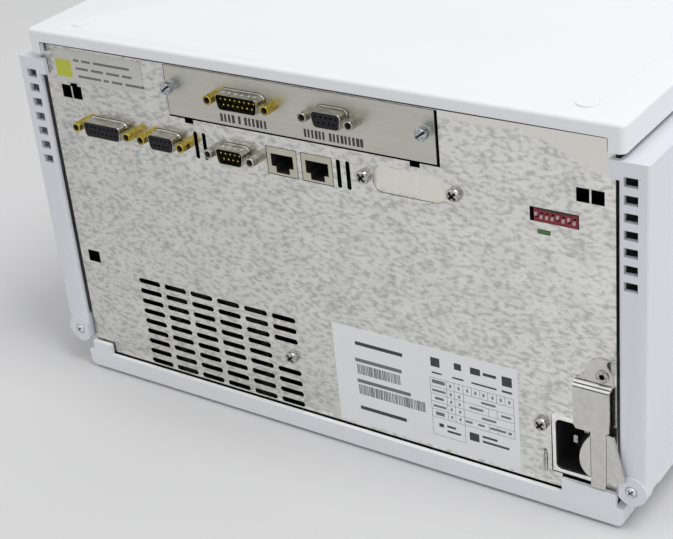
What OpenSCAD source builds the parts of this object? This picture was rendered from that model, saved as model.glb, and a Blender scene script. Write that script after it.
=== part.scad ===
// Autosampler module of a stacked liquid chromatography system, seen mostly from its rear.
// Millimetres. The front faces -Y and the rear panel faces +Y, so the side at -X is the left
// side for a person in front. The origin is at the centre of the footprint, where the feet rest.

/* [Case] */
// Overall width over both side panels
case_w = 345; // [338:1:360]
// Overall depth from the front door to the tips of the jackscrews
case_d = 435; // [425:1:460]
// Overall height from the bench to the top cover
case_h = 200; // [198:1:212]
// Distance of the top cover's sides inside the side panels
cover_inset = 10.5; // [9:0.1:11.5]
// Wall of the moulded covers
cover_wall = 2.5; // [2:0.1:3.5]
// How far the covers' rear edges stand out behind the rear panel
cover_out = 3.3; // [3:0.1:3.6]
// Height of the top cover's rear skirt
rear_skirt = 7.1; // [6.5:0.1:8]
// Height of the top cover's side skirts
side_skirt = 12.5; // [10:0.1:13]
// Width of the corner legs of the top cover
corner_leg_w = 7.6; // [7:0.1:9]
// Round of the top cover's upright corners
cover_round = 3; // [3:0.5:6]
// Round of the front cover's corners
front_round = 8; // [5:0.5:10]
// Height of the rubber feet
foot_h = 1.5; // [1:0.1:2]
// Radius of the rubber feet
foot_r = 9; // [6:0.5:12]
// Height of the base tray's rim above its underside
base_rim = 9.6; // [9:0.1:10.5]
// Top of the side panels below the top of the case
side_top_drop = 16.3; // [15.5:0.1:18]

/* [Rear panel] */
// Distance of the rear panel's edges inside the side panels' outer faces
panel_inset = 15.9; // [15.5:0.1:17]
// Thickness of the rear panel's sheet
panel_t = 1; // [0.8:0.1:1.5]
// Width of the removable slot plate
slot_plate_w = 149.8; // [147:0.2:151]
// Height of the removable slot plate
slot_plate_h = 25.6; // [24:0.2:26]
// Length of one vent slot
vent_l = 14.4; // [12:0.1:15]
// Height of one vent slot
vent_h = 2.9; // [2.4:0.1:3.4]
// Spacing of the vent slots across
vent_pitch_x = 17.4; // [17.2:0.1:17.8]
// Spacing of the vent rows
vent_pitch_z = 6.2; // [5.8:0.1:6.3]
// Distance of the rating label from the inlet side's edge of the panel
label_margin = 48.5; // [46:0.5:50]
// Height of the rating label
label_h = 55.8; // [40:0.2:56]

/* [Connectors] */
// How far the connector shells stand out of the panel
shell_out = 6.2; // [5:0.1:6.8]
// How far the jackscrews stand out of the panel
jackscrew_out = 7; // [6.8:0.1:7.6]
// Thickness of a connector shell's steel
shell_t = 0.5; // [0.4:0.05:0.7]
// Width of a network jack's face
jack_w = 17; // [16:0.1:17.4]
// Height of a network jack's face
jack_h = 14; // [13:0.1:14.6]
// Width of the configuration switch
switch_w = 20.4; // [20.3:0.1:21]
// Travel of one switch lever
switch_travel = 1.2; // [0.8:0.1:1.4]
// Width of the mains inlet's opening
inlet_w = 18.8; // [17:0.1:19]
// Height of the mains inlet's opening
inlet_h = 27; // [25:0.1:27.4]

/* [Security lever] */
// Thickness of the lever's sheet
lever_t = 1; // [0.8:0.1:1.2]
// Outward step of the lever's lower plate
lever_step = 3; // [2.8:0.1:3.2]
// Radius of the lever's pivot rivet
rivet_r = 2.1; // [1.8:0.1:2.4]

/* [Front] */
// Depth of the front cover
front_cover_d = 20; // [16:0.5:24]
// Thickness of the front door
door_t = 5.2; // [4.6:0.1:5.6]
// Radius of the power button
button_r = 7; // [5:0.5:8]
// Travel of the power button
button_travel = 3; // [2:0.5:4]

/* [Inside] */
// Thickness of the chassis sheet
chassis_t = 1.2; // [1:0.1:1.5]
// Height of the foam bed
foam_h = 24; // [20:0.5:26]
// Number of vials along one side of the vial tray
vials_per_side = 6; // [4:1:6]
// Spacing of the vials
vial_pitch = 22; // [20:0.5:23]
// Radius of a vial
vial_r = 5.8; // [5:0.1:6]
// Side of the square fan frame
fan_side = 60; // [58:0.5:61]
// Radius of the transport rails
rail_r = 4; // [3:0.5:5]

/* [Hidden] */
$fn = 48;

white = [0.93, 0.93, 0.95];
lavender = [0.83, 0.84, 0.89];
steel = [0.74, 0.73, 0.7];
satin = [0.64, 0.63, 0.59];
bright = [0.82, 0.82, 0.8];
gold = [0.72, 0.6, 0.22];
black = [0.06, 0.06, 0.07];
cream = [0.82, 0.79, 0.68];
red = [0.72, 0.08, 0.1];
green = [0.1, 0.5, 0.14];
board = [0.08, 0.33, 0.2];

// Small gaps: between fixed parts, round a running part, and a hair more than touching
gap = 0.3;
run = 0.05;
eps = 0.01;

// Planes that the parts share
rear_y = case_d / 2;
front_y = -case_d / 2;
panel_w = case_w - 2 * panel_inset;
panel_y = rear_y - jackscrew_out;
cover_rear = panel_y + cover_out;
cover_w = case_w - 2 * cover_inset;
panel_in = panel_y - panel_t;
pad_h = 0.6;
cover_top = case_h - pad_h;
cover_low = case_h - rear_skirt;
side_top = case_h - side_top_drop;
base_low = foot_h;
rim_top = base_low + base_rim;
base_floor = base_low + cover_wall;
panel_low = rim_top + 0.6;
panel_top = cover_low - 1.3;
chassis_floor = base_floor + chassis_t;
cover_front = front_y + door_t + gap;
front_back = cover_front + front_cover_d;
chassis_w = panel_w - 0.6;

// A sheet or block whose outline is drawn across X and Z, between two places along Y
module along_y(y0, y1) {
    translate([0, y1, 0]) rotate([90, 0, 0]) linear_extrude(y1 - y0) children();
}

module rod_y(r, y0, y1, x, z) {
    translate([x, y1, z]) rotate([90, 0, 0]) cylinder(r = r, h = y1 - y0);
}

module rod_x(r, x0, x1, y, z) {
    translate([x0, y, z]) rotate([0, 90, 0]) cylinder(r = r, h = x1 - x0);
}

module box(low, high) {
    translate(low) cube(high - low);
}

// A rectangle with round corners, centred on a point
module round_rect(w, h, r, x = 0, z = 0) {
    translate([x, z]) {
        square([w - 2 * r, h], center = true);
        square([w, h - 2 * r], center = true);
        for (sx = [-1, 1], sz = [-1, 1])
            translate([sx * (w / 2 - r), sz * (h / 2 - r)]) circle(r);
    }
}

// A slot with round ends, its length along X
module slot_2d(l, h, x = 0, z = 0) {
    translate([x, z]) {
        square([l - h, h], center = true);
        for (s = [-1, 1]) translate([s * (l - h) / 2, 0]) circle(h / 2, $fn = 24);
    }
}

// The top cover is a shallow moulded lid with legs at its corners that reach down beside the
// side panels, and two low round pads on top near its rear corners.
leg_low = side_top + 3.1;
pad_r = 5;
pad_x = cover_w / 2 - 23.3;
pad_in = 16;
cover_edge = 1.2;
module cover_outline(inset) {
    round_rect(cover_w - 2 * inset, cover_rear - cover_front - 2 * inset, cover_round - inset,
        0, (cover_rear + cover_front) / 2);
}
module top_cover() {
    color(white) difference() {
        union() {
            translate([0, 0, leg_low]) linear_extrude(cover_top - cover_edge - leg_low) cover_outline(0);
            hull() {
                for (a = [0, 30, 60, 90])
                    translate([0, 0, cover_top - cover_edge * (1 - sin(a)) - eps])
                        linear_extrude(eps) cover_outline(cover_edge * (1 - cos(a)) + eps, $fn = 32);
            }
            for (s = [-1, 1]) translate([s * pad_x, cover_rear - pad_in, cover_top - 1])
                cylinder(r = pad_r, h = 1 + pad_h);
        }
        translate([0, 0, leg_low - 1]) linear_extrude(cover_top - cover_wall - leg_low + 1)
            cover_outline(cover_wall);
        box([-cover_w / 2 + corner_leg_w, panel_in - 20, leg_low - 1],
            [cover_w / 2 - corner_leg_w, cover_rear + 1, cover_low]);
        box([-cover_w / 2 - 1, cover_front + corner_leg_w, leg_low - 1],
            [cover_w / 2 + 1, cover_rear - corner_leg_w, cover_top - side_skirt]);
        box([-cover_w / 2 - 1, cover_front - 1, leg_low - 1],
            [cover_w / 2 + 1, front_back + gap, cover_low]);
    }
}

// Each side panel is a shallow moulded tray, open towards the chassis. Its rear wall has seven
// square windows, its lower rear corner is a round lug held by a screw, and a shoulder at its
// upper rear corner reaches over the edge of the rear panel.
side_w = (case_w - chassis_w) / 2 - 2.6;
side_in = case_w / 2 - side_w;
side_y = panel_y + 2.8;
window_w = 6.3;
window_h = 4.5;
window_pitch = 8;
window_count = 7;
window_x = case_w / 2 - 8.1;
window_z = side_top - 8.8;
lug_r = 7.4;
lug_x = case_w / 2 - lug_r;
lug_z = 23.1;
lug_t = 0.8;
lug_screw_r = 2.6;
lug_sink = 1.2;
side_front = front_back + gap;
side_low = lug_z - 1;
shoulder_h = 8.4;
module side_shell_outline() {
    round_rect(side_w, side_y - side_front, 1.5, (case_w - side_w) / 2, (side_y + side_front) / 2);
}
module right_side() {
    box([cover_w / 2 - corner_leg_w + gap, panel_y + gap, side_top - shoulder_h],
        [side_in + 2, side_y, side_top]);
    difference() {
        union() {
            translate([0, 0, lug_z]) linear_extrude(side_top - lug_z) side_shell_outline();
            box([side_in, side_front + 3, side_low], [case_w / 2, side_y - 12, lug_z + eps]);
            rod_y(lug_r, side_y - 6, side_y + lug_t, lug_x, lug_z);
        }
        box([case_w / 2, side_front, side_low - 9], [case_w / 2 + 9, side_y + 9, side_top]);
        box([side_in - 9, side_front, lug_z - 9], [side_in, side_y + 9, side_top]);
        box([side_in - 1, side_front + cover_wall, side_low - 1],
            [case_w / 2 - cover_wall, side_y - 12, side_top - cover_wall]);
        box([side_in - 1, side_y - 12 - eps, lug_z + lug_r + 2],
            [case_w / 2 - cover_wall, side_y - cover_wall, side_top - cover_wall]);
        for (i = [0 : window_count - 1])
            box([window_x - window_w / 2, side_y - 9, window_z - i * window_pitch - window_h / 2],
                [window_x + window_w / 2, side_y + 1, window_z - i * window_pitch + window_h / 2]);
        rod_y(screw_r + gap, side_y - 9, side_y + 9, lug_x, lug_z);
        rod_y(lug_screw_r + gap, side_y + lug_t - lug_sink, side_y + 9, lug_x, lug_z);
    }
}
module right_side_panel() {
    color(lavender) right_side();
}
module left_side_panel() {
    color(lavender) mirror([1, 0, 0]) right_side();
}

// The base tray is the moulded floor. Its rear rim is low, with a raised stretch below the
// inlet and a small boss near the other end.
base_w = panel_w + 8.8;
base_bevel = 2;
base_front = front_back - 2;
lug_edge = lug_x - lug_r - gap;
raised_w = lug_edge - 130.5 / 313.2 * panel_w;
raised_top = rim_top + 7.6;
boss_w = 13;
boss_top = rim_top + 6.2;
rim_in = panel_y + 0.8;
module base_tray() {
    color(lavender) difference() {
        union() {
            along_y(base_front, cover_rear)
                polygon([[-base_w / 2 + base_bevel, base_low], [base_w / 2 - base_bevel, base_low],
                    [base_w / 2, base_low + base_bevel], [base_w / 2, rim_top],
                    [-base_w / 2, rim_top], [-base_w / 2, base_low + base_bevel]]);
            box([-lug_edge, rim_in, rim_top - 1], [raised_w - lug_edge, cover_rear, raised_top]);
            box([lug_edge - boss_w, rim_in, rim_top - 1], [lug_edge, cover_rear, boss_top]);
        }
        box([-chassis_w / 2 - gap, base_front - 1, base_floor], [chassis_w / 2 + gap, rim_in, rim_top + 1]);
    }
}

foot_x = case_w / 2 - 42.5;
foot_in = 40;
module feet() {
    color(black) for (sx = [-1, 1], y = [base_front + foot_in, cover_rear - foot_in])
        translate([sx * foot_x, y, 0]) cylinder(r = foot_r, h = foot_h);
}

// The front cover is a shallow moulded frame round the sample bay. Two ears carry the door.
door_low = 30;
door_high = cover_low - 7;
hinge_x = case_w / 2 - 12;
hinge_y = front_y + door_t / 2;
pin_r = 1.6;
ear_h = 5;
door_w = case_w - 83;
bay_w = case_w - 109;
bay_low = 42;
bay_high = door_high - 8;
bay_x = hinge_x - 18 - bay_w / 2;
button_x = 30.5 - case_w / 2;
button_z = 20;
button_rod_r = 2.5;
front_low = 4;
module front_cover() {
    color(white) difference() {
        union() {
            along_y(cover_front, front_back)
                round_rect(case_w, cover_low - gap - front_low, front_round, 0,
                    (cover_low - gap + front_low) / 2);
            for (z = [door_low - gap - ear_h, door_high + gap]) {
                translate([hinge_x, hinge_y, z]) cylinder(r = door_t / 2, h = ear_h);
                box([hinge_x - door_t / 2, hinge_y, z], [hinge_x + door_t / 2, cover_front + eps, z + ear_h]);
            }
        }
        along_y(cover_front + cover_wall, front_back + 1)
            round_rect(case_w - 2 * cover_wall, cover_low - gap - front_low - 2 * cover_wall,
                front_round - cover_wall, 0, (cover_low - gap + front_low) / 2);
        box([bay_x - bay_w / 2, front_y - 1, bay_low], [bay_x + bay_w / 2, front_back, bay_high]);
        rod_y(button_r + gap, front_y - 1, front_back, button_x, button_z);
        box([-base_w / 2 - gap, base_front - gap, -1], [base_w / 2 + gap, front_back + 1, rim_top + gap]);
        for (z = [door_low - gap - ear_h - 1, door_high + gap - 1])
            translate([hinge_x, hinge_y, z]) cylinder(r = pin_r + run, h = ear_h + 2);
    }
}

// The front door is a plain moulded flap. Two moulded pins at its right edge turn in the ears.
module front_door() {
    color(white) {
        difference() {
            union() {
                box([hinge_x - door_w, front_y, door_low], [hinge_x, front_y + door_t, door_high]);
                translate([hinge_x, hinge_y, door_low]) cylinder(r = door_t / 2, h = door_high - door_low);
                translate([hinge_x, hinge_y, door_low - gap - ear_h])
                    cylinder(r = pin_r, h = door_high - door_low + 2 * (gap + ear_h));
            }
            box([hinge_x - door_w + cover_wall, front_y + cover_wall, door_low + cover_wall],
                [hinge_x - door_t, front_y + door_t + 1, door_high - cover_wall]);
        }
    }
}

// The power button and its long push rod are one moulding that works the switch on the supply.
supply_front = 58;
module power_button() {
    color(cream) {
        rod_y(button_r, cover_front - button_travel, cover_front + 8, button_x, button_z);
        rod_y(button_rod_r, cover_front + 8 - eps, supply_front - button_travel - gap, button_x, button_z);
    }
}

lamp_w = 30;
lamp_x = 60;
module status_lamp() {
    color(green) box([lamp_x - lamp_w / 2, cover_front - 1.5, door_high + 1.2],
        [lamp_x + lamp_w / 2, cover_front, cover_low - 1.4]);
}

// Places on the rear panel, read across X and up Z
panel_l = panel_w / 2;
panel_r = -panel_w / 2;
slot_x = 0.28 * panel_w - 85.4;
slot_z = panel_top - 0.9 - slot_plate_h / 2;
slot_open_l = 1.6;
slot_open_low = 0.9;
slot_notch_w = 5.2;
slot_notch_h = 2.2;
slot_notch_in = 11.4;
row_z = slot_z - 26.8;
port_a_x = panel_w / 4 + 40.8;
port_b_x = port_a_x - 38.3;
port_c_x = port_a_x - 80.5;
port_d_x = slot_x + 28;
port_e_x = slot_x - 22;
slot_port_z = slot_z + 1.6;
jack_x = [port_a_x - 107, port_a_x - 126.8];
blank_x = port_a_x - 176.4;
blank_z = row_z + 1.6;
blank_w = 37;
blank_h = 12.6;
blank_screw = 23.5;
vent_x = panel_l - 46.8;
vent_z = 63.7;
vent_cols = 6;
vent_rows = 9;
vent_skip = [4, 5];
vent_screw_x = panel_l - 137;
vent_screw_z = 42.3;
inlet_screw_x = panel_r + 36.7;
inlet_screw_z = 44.5;
inlet_x = panel_r + 20;
inlet_z = 36.1;
frame_edge = 2.2;
rivet_x = panel_r + 6.2;
rivet_z = 78.5;
switch_x = -panel_w / 4 - 50.9;
switch_cut_l = 1.9;
switch_cut_r = 0.6;
switch_z = row_z - 0.2;
switch_h = 6.4;
lamp_window_x = switch_x + 5.5;
lamp_window_z = row_z - 8.1;
lamp_window_w = 5.8;
lamp_window_h = 2;
screw_r = 1.5;
pair_x = [port_a_x - 58.6, port_a_x - 141.6];
pair_gap = 5.2;
pair_l = 14.4;
pair_w = 2.3;
latch_l = [panel_l - 15.6, row_z + 16, 13.1, 7];
latch_r = [panel_r + 11.3, row_z + 12.9, 12.8, 6.5];
latch_strip = 0.9;
square_hole = [panel_l - 9.5, 71.3, 8, 6.8];
low_slot = [panel_r + 19, 18.2, 16, 2.4];
high_slot = [panel_l - 17.6, row_z + 19.9, 4.6, 2];
tab_x = panel_r + 35.8;
tab_z = 24;
tab_l = 12.2;
tab_out = 1.6;

// Half width of a connector's shell by the number of its contacts
function shell_half(n) = n == 15 ? 12.5 : 8.4;
shell_h = 8.3;
shell_corner = 1.4;
shell_slope = 1.3;
// A connector's outline: a trapezium that is wider at its top, with cut corners
module d_outline(n, grow) {
    a = shell_half(n) + grow;
    h = shell_h / 2 + grow;
    c = shell_corner + grow;
    polygon([[-a + c, h], [a - c, h], [a, h - c], [a - shell_slope, -h + c], [a - shell_slope - c, -h],
        [-a + shell_slope + c, -h], [-a + shell_slope, -h + c], [-a, h - c]]);
}
// Each port: contacts, centre across, centre up, and 1 for pins or 0 for sockets
ports = [[15, port_a_x, row_z, 0], [9, port_b_x, row_z, 0], [9, port_c_x, row_z, 1],
    [15, port_d_x, slot_port_z, 1], [9, port_e_x, slot_port_z, 0]];
function jackscrew_half(n) = n == 15 ? 16.65 : 12.5;
jackscrew_r = 2.4;
jackscrew_hole = 1.55;
flange_hole = 2;

module port_cut(p) {
    translate([p[1], p[2]]) {
        d_outline(p[0], gap);
        for (s = [-1, 1]) translate([s * jackscrew_half(p[0]), 0]) circle(flange_hole);
    }
}

// The rear panel is one polished sheet with every cut-out in it and a lanced stop tab.
module rear_panel() {
    color(steel) {
        along_y(panel_in, panel_y) difference() {
            translate([-panel_w / 2, panel_low]) square([panel_w, panel_top - panel_low]);
            translate([slot_x - slot_plate_w / 2 - slot_open_l, slot_z - slot_plate_h / 2 - slot_open_low])
                square([slot_plate_w + slot_open_l + gap, slot_plate_h + slot_open_low + gap]);
            for (s = [-1, 1]) translate([slot_x + s * (slot_plate_w / 2 - slot_notch_in) - slot_notch_w / 2,
                    slot_z - slot_plate_h / 2 - slot_open_low - slot_notch_h])
                square([slot_notch_w, slot_notch_h + slot_open_low]);
            for (i = [0 : 2]) port_cut(ports[i]);
            for (x = jack_x) translate([x, row_z])
                square([jack_w + 2 * gap, jack_h + 2 * gap], center = true);
            for (c = [0 : vent_cols - 1], r = [0 : vent_rows - 1])
                if (c < vent_cols - 1 || (r != vent_skip[0] - 1 && r != vent_skip[1] - 1))
                    slot_2d(vent_l, vent_h, vent_x - c * vent_pitch_x, vent_z - r * vent_pitch_z);
            for (x = pair_x, s = [-1, 1]) translate([x + s * pair_gap / 2, row_z]) rotate(90)
                slot_2d(pair_l, pair_w);
            for (l = [latch_l, latch_r], s = [-1, 1])
                translate([l[0] + s * (l[2] + latch_strip) / 4, l[1]])
                    square([(l[2] - latch_strip) / 2, l[3]], center = true);
            for (q = [square_hole, low_slot, high_slot])
                translate([q[0], q[1]]) square([q[2], q[3]], center = true);
            round_rect(blank_w, blank_h, 4.5, blank_x, blank_z);
            translate([switch_x - switch_w / 2 - switch_cut_r, switch_z - (switch_h + gap) / 2])
                square([switch_w + switch_cut_l + switch_cut_r, switch_h + gap]);
            translate([lamp_window_x, lamp_window_z])
                square([lamp_window_w + gap, lamp_window_h + gap], center = true);
            translate([inlet_x, inlet_z])
                square([inlet_w + 2 * inlet_wall, inlet_h + 2 * inlet_wall], center = true);
            translate([rivet_x, rivet_z]) circle(rivet_r + run);
            for (s = [-1, 1]) translate([blank_x + s * blank_screw, blank_z]) circle(screw_r + run);
            translate([vent_screw_x, vent_screw_z]) circle(screw_r + run);
            translate([inlet_screw_x, inlet_screw_z]) circle(screw_r + run);
        }
        box([tab_x - panel_t / 2, panel_y - eps, tab_z - tab_l / 2],
            [tab_x + panel_t / 2, panel_y + tab_out, tab_z + tab_l / 2]);
    }
}

// The chassis is a folded sheet: a floor, two side walls and a lip that holds the slot plate.
chassis_front = front_back + gap;
chassis_top = cover_low - 1;
lip_d = 3;
module inner_chassis() {
    color(satin) {
        box([-chassis_w / 2, chassis_front, base_floor], [chassis_w / 2, panel_in, chassis_floor]);
        for (s = [0, 1]) mirror([s, 0, 0])
            box([chassis_w / 2 - chassis_t, chassis_front, base_floor],
                [chassis_w / 2, panel_in, chassis_top]);
        for (s = [-1, 1]) difference() {
            box([slot_x + s * captive_half - 5, panel_in - lip_d - chassis_t, slot_board_z],
                [slot_x + s * captive_half + 5, panel_in - lip_d, chassis_top]);
            rod_y(screw_r + run, panel_in - 20, panel_in, slot_x + s * captive_half, captive_z);
        }
        box([-chassis_w / 2 + eps, panel_in - lip_d - chassis_t, chassis_top - chassis_t],
            [chassis_w / 2 - eps, panel_in - lip_d, chassis_top]);
    }
}

// The slot plate closes the interface slot and carries two ports of its own.
captive_in = 4.1;
captive_half = slot_plate_w / 2 - captive_in;
captive_z = slot_z + 2.9;
module slot_plate() {
    color(satin) along_y(panel_y - panel_t, panel_y) difference() {
        translate([slot_x, slot_z]) square([slot_plate_w, slot_plate_h], center = true);
        for (i = [3 : 4]) port_cut(ports[i]);
        for (s = [-1, 1]) translate([slot_x + s * captive_half, captive_z]) circle(screw_r + run);
    }
}

module blank_plate() {
    color(steel) along_y(panel_in - 1, panel_in) difference() {
        round_rect(2 * blank_screw + 10, blank_h + 3, 3, blank_x, blank_z);
        for (s = [-1, 1]) translate([blank_x + s * blank_screw, blank_z]) circle(screw_r + run);
    }
}

// Two captive screws with long slotted heads hold the slot plate to the chassis lip.
module captive_screws() {
    color(bright) for (s = [-1, 1]) difference() {
        union() {
            rod_y(2.2, panel_y, panel_y + 3, slot_x + s * captive_half, captive_z);
            rod_y(3.1, panel_y + 2.5, panel_y + 6.5, slot_x + s * captive_half, captive_z);
            rod_y(screw_r, panel_in - 6, panel_y + eps, slot_x + s * captive_half, captive_z);
        }
        translate([slot_x + s * captive_half, panel_y + 6.5, captive_z])
            rotate([0, 35, 0]) cube([9, 2.4, 0.9], center = true);
    }
}

// Pan head screws: two at the blank plate, one by the vents, one by the inlet, two in the lugs
pan_r = 3.4;
pan_share = 0.95;
pan_rim = 0.6;
pan_top = 0.82;
module pan_screw(x, z, y, r, l) {
    difference() {
        union() {
            rod_y(r, y, y + r * pan_share * pan_rim, x, z);
            rod_y(r * pan_top, y, y + r * pan_share, x, z);
            rod_y(screw_r, y - l, y + eps, x, z);
        }
        for (a = [45, 135]) translate([x, y + r * pan_share, z]) rotate([0, a, 0])
            cube([r, 2, 0.8], center = true);
    }
}
module pan_head_screws() {
    color(bright) {
        for (s = [-1, 1]) pan_screw(blank_x + s * blank_screw, blank_z, panel_y, pan_r, 6);
        pan_screw(vent_screw_x, vent_screw_z, panel_y, pan_r, 3);
        pan_screw(inlet_screw_x, inlet_screw_z, panel_y, pan_r, 6);
        for (s = [-1, 1]) pan_screw(s * lug_x, lug_z, side_y + lug_t - lug_sink, lug_screw_r, 5);
    }
}

// Connector shells: a flange behind the sheet and a bent steel rim that stands out of it
shell_back = 5;
module connector_shells() {
    color(bright) for (p = ports) translate([p[1], 0, p[2]]) {
        difference() {
            union() {
                along_y(panel_in - 0.8, panel_in) square([2 * jackscrew_half(p[0]) + 6, 12], center = true);
                along_y(panel_in - shell_back, panel_y + shell_out) d_outline(p[0], 0);
            }
            along_y(panel_in - shell_back - 1, panel_y + shell_out + 1) d_outline(p[0], -shell_t);
            for (s = [-1, 1]) rod_y(flange_hole, panel_in - 2, panel_y, s * jackscrew_half(p[0]), 0);
        }
    }
}

// Connector inserts: the black moulding that holds the contacts, low in a port with pins
contact_pitch = 2.75;
contact_row = 1.42;
insert_low = 1;
function contacts_of(n) = [for (i = [0 : n - 1]) i < (n + 1) / 2
    ? [(i - (n - 1) / 4) * contact_pitch, contact_row]
    : [(i - (n + 1) / 2 - (n - 3) / 4) * contact_pitch, -contact_row]];
module connector_inserts() {
    color(black) for (p = ports) translate([p[1], 0, p[2]]) difference() {
        along_y(panel_in - shell_back - 3, p[3] == 1 ? panel_y + insert_low : panel_y + shell_out - 0.4)
            d_outline(p[0], -shell_t);
        for (c = contacts_of(p[0]))
            if (p[3] == 0) rod_y(0.6, panel_y, panel_y + shell_out, c[0], c[1], $fn = 16);
            else rod_y(0.5 + run, panel_in - 4, panel_y + shell_out, c[0], c[1], $fn = 16);
    }
}

module connector_pins() {
    color(gold) for (p = ports) if (p[3] == 1) for (c = contacts_of(p[0]))
        rod_y(0.5, panel_in - 4, panel_y + shell_out - 0.8, p[1] + c[0], p[2] + c[1], $fn = 16);
}

// Hexagonal jackscrews with a threaded socket for the mating plug's screws
module jackscrew(x, z) {
    difference() {
        union() {
            translate([x, panel_y + jackscrew_out, z]) rotate([90, 0, 0])
                cylinder(r = jackscrew_r / cos(30), h = jackscrew_out, $fn = 6);
            rod_y(jackscrew_hole, panel_in - 4, panel_y + eps, x, z);
        }
        rod_y(socket_r, panel_y + jackscrew_out - 5, panel_y + jackscrew_out + 1, x, z);
    }
}
socket_r = 1.45;
module gold_jackscrews() {
    color(gold) for (i = [0, 1, 3], s = [-1, 1])
        jackscrew(ports[i][1] + s * jackscrew_half(ports[i][0]), ports[i][2]);
}
module steel_jackscrews() {
    color(bright) for (i = [2, 4], s = [-1, 1])
        jackscrew(ports[i][1] + s * jackscrew_half(ports[i][0]), ports[i][2]);
}

// Two network jacks: cream housings, open to the rear, with eight sprung contacts each
jack_depth = 18;
jack_open_w = 12.6;
jack_open_h = 6.4;
jack_key_w = 7.6;
jack_key_h = 3.1;
jack_open_top = 3.6;
module jack_housings() {
    color(cream) for (x = jack_x) difference() {
        box([x - jack_w / 2, panel_y - jack_depth, row_z - jack_h / 2],
            [x + jack_w / 2, panel_y, row_z + jack_h / 2]);
        box([x - jack_open_w / 2, panel_y - jack_depth + 3, row_z + jack_open_top - jack_open_h],
            [x + jack_open_w / 2, panel_y + 1, row_z + jack_open_top]);
        box([x - jack_key_w / 2, panel_y - jack_depth + 3, row_z + jack_open_top - jack_open_h - jack_key_h],
            [x + jack_key_w / 2, panel_y + 1, row_z]);
    }
}
module jack_contacts() {
    color(gold) for (x = jack_x, i = [0 : 7])
        translate([x + (i - 3.5) * 1.02, panel_y - jack_depth + 3, row_z + jack_open_top - 1]) {
            rotate([-90, 0, 0]) cylinder(r = 0.22, h = 9, $fn = 8);
        }
}

// The configuration switch: a red block with eight white levers that slide up and down
lever_pitch = 2.54;
lever_w = 1.1;
lever_h = 1.4;
lever_out = 1;
lever_slot_d = 2;
// 1 where the photograph shows the lever low, by its number from the +X end
lever_low = [0, 1, 1, 1, 0, 1, 0, 1];
function lever_x(i) = switch_x + (3.5 - i) * lever_pitch;
function lever_rest(i) = switch_z + (lever_low[i] == 1 ? -1 : 1) * switch_travel / 2;
switch_depth = 9;
module switch_block() {
    color(red) difference() {
        box([switch_x - switch_w / 2, panel_y - switch_depth, switch_z - switch_h / 2],
            [switch_x + switch_w / 2, panel_y, switch_z + switch_h / 2]);
        for (i = [0 : 7])
            box([lever_x(i) - lever_w / 2 - run, panel_y - lever_slot_d - run,
                    switch_z - (switch_travel + lever_h) / 2 - run],
                [lever_x(i) + lever_w / 2 + run, panel_y + 1,
                    switch_z + (switch_travel + lever_h) / 2 + run]);
    }
}
module switch_lever(i) {
    color(white) box([lever_x(i) - lever_w / 2, panel_y - lever_slot_d, lever_rest(i) - lever_h / 2],
        [lever_x(i) + lever_w / 2, panel_y + lever_out, lever_rest(i) + lever_h / 2]);
}

lamp_window_d = 12;
module lamp_window() {
    color(green) along_y(panel_y - lamp_window_d, panel_y) translate([lamp_window_x, lamp_window_z])
        square([lamp_window_w, lamp_window_h], center = true);
}

// The mains inlet: a black socket with its long side upright, a nickel frame and three prongs
inlet_depth = 26;
inlet_recess = 18;
prong_reach = 12;
inlet_wall = 1;
inlet_corner = 2.6;
module inlet_body() {
    color(black) difference() {
        along_y(panel_y - inlet_depth, panel_y)
            round_rect(inlet_w + 2 * inlet_wall - gap, inlet_h + 2 * inlet_wall - gap, 2, inlet_x, inlet_z);
        along_y(panel_y - inlet_recess, panel_y + 1)
            round_rect(inlet_w, inlet_h, inlet_corner, inlet_x, inlet_z);
        for (c = prong_at) prong_box(c, run, inlet_recess + 3);
    }
}
prong_at = [[-2.5, -7], [-2.5, 7], [3, 0]];
module prong_box(c, grow, back) {
    box([inlet_x + c[0] - 1 - grow, panel_y - back, inlet_z + c[1] - 2 - grow],
        [inlet_x + c[0] + 1 + grow, panel_y - inlet_recess + prong_reach, inlet_z + c[1] + 2 + grow]);
}
module inlet_prongs() {
    color(bright) for (c = prong_at) prong_box(c, 0, inlet_recess + 3);
}
module inlet_frame() {
    color(bright) along_y(panel_y, panel_y + 1.2) difference() {
        round_rect(inlet_w + 2 * frame_edge, inlet_h + 2 * frame_edge, 1.5, inlet_x, inlet_z);
        round_rect(inlet_w, inlet_h, inlet_corner, inlet_x, inlet_z);
    }
}

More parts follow.
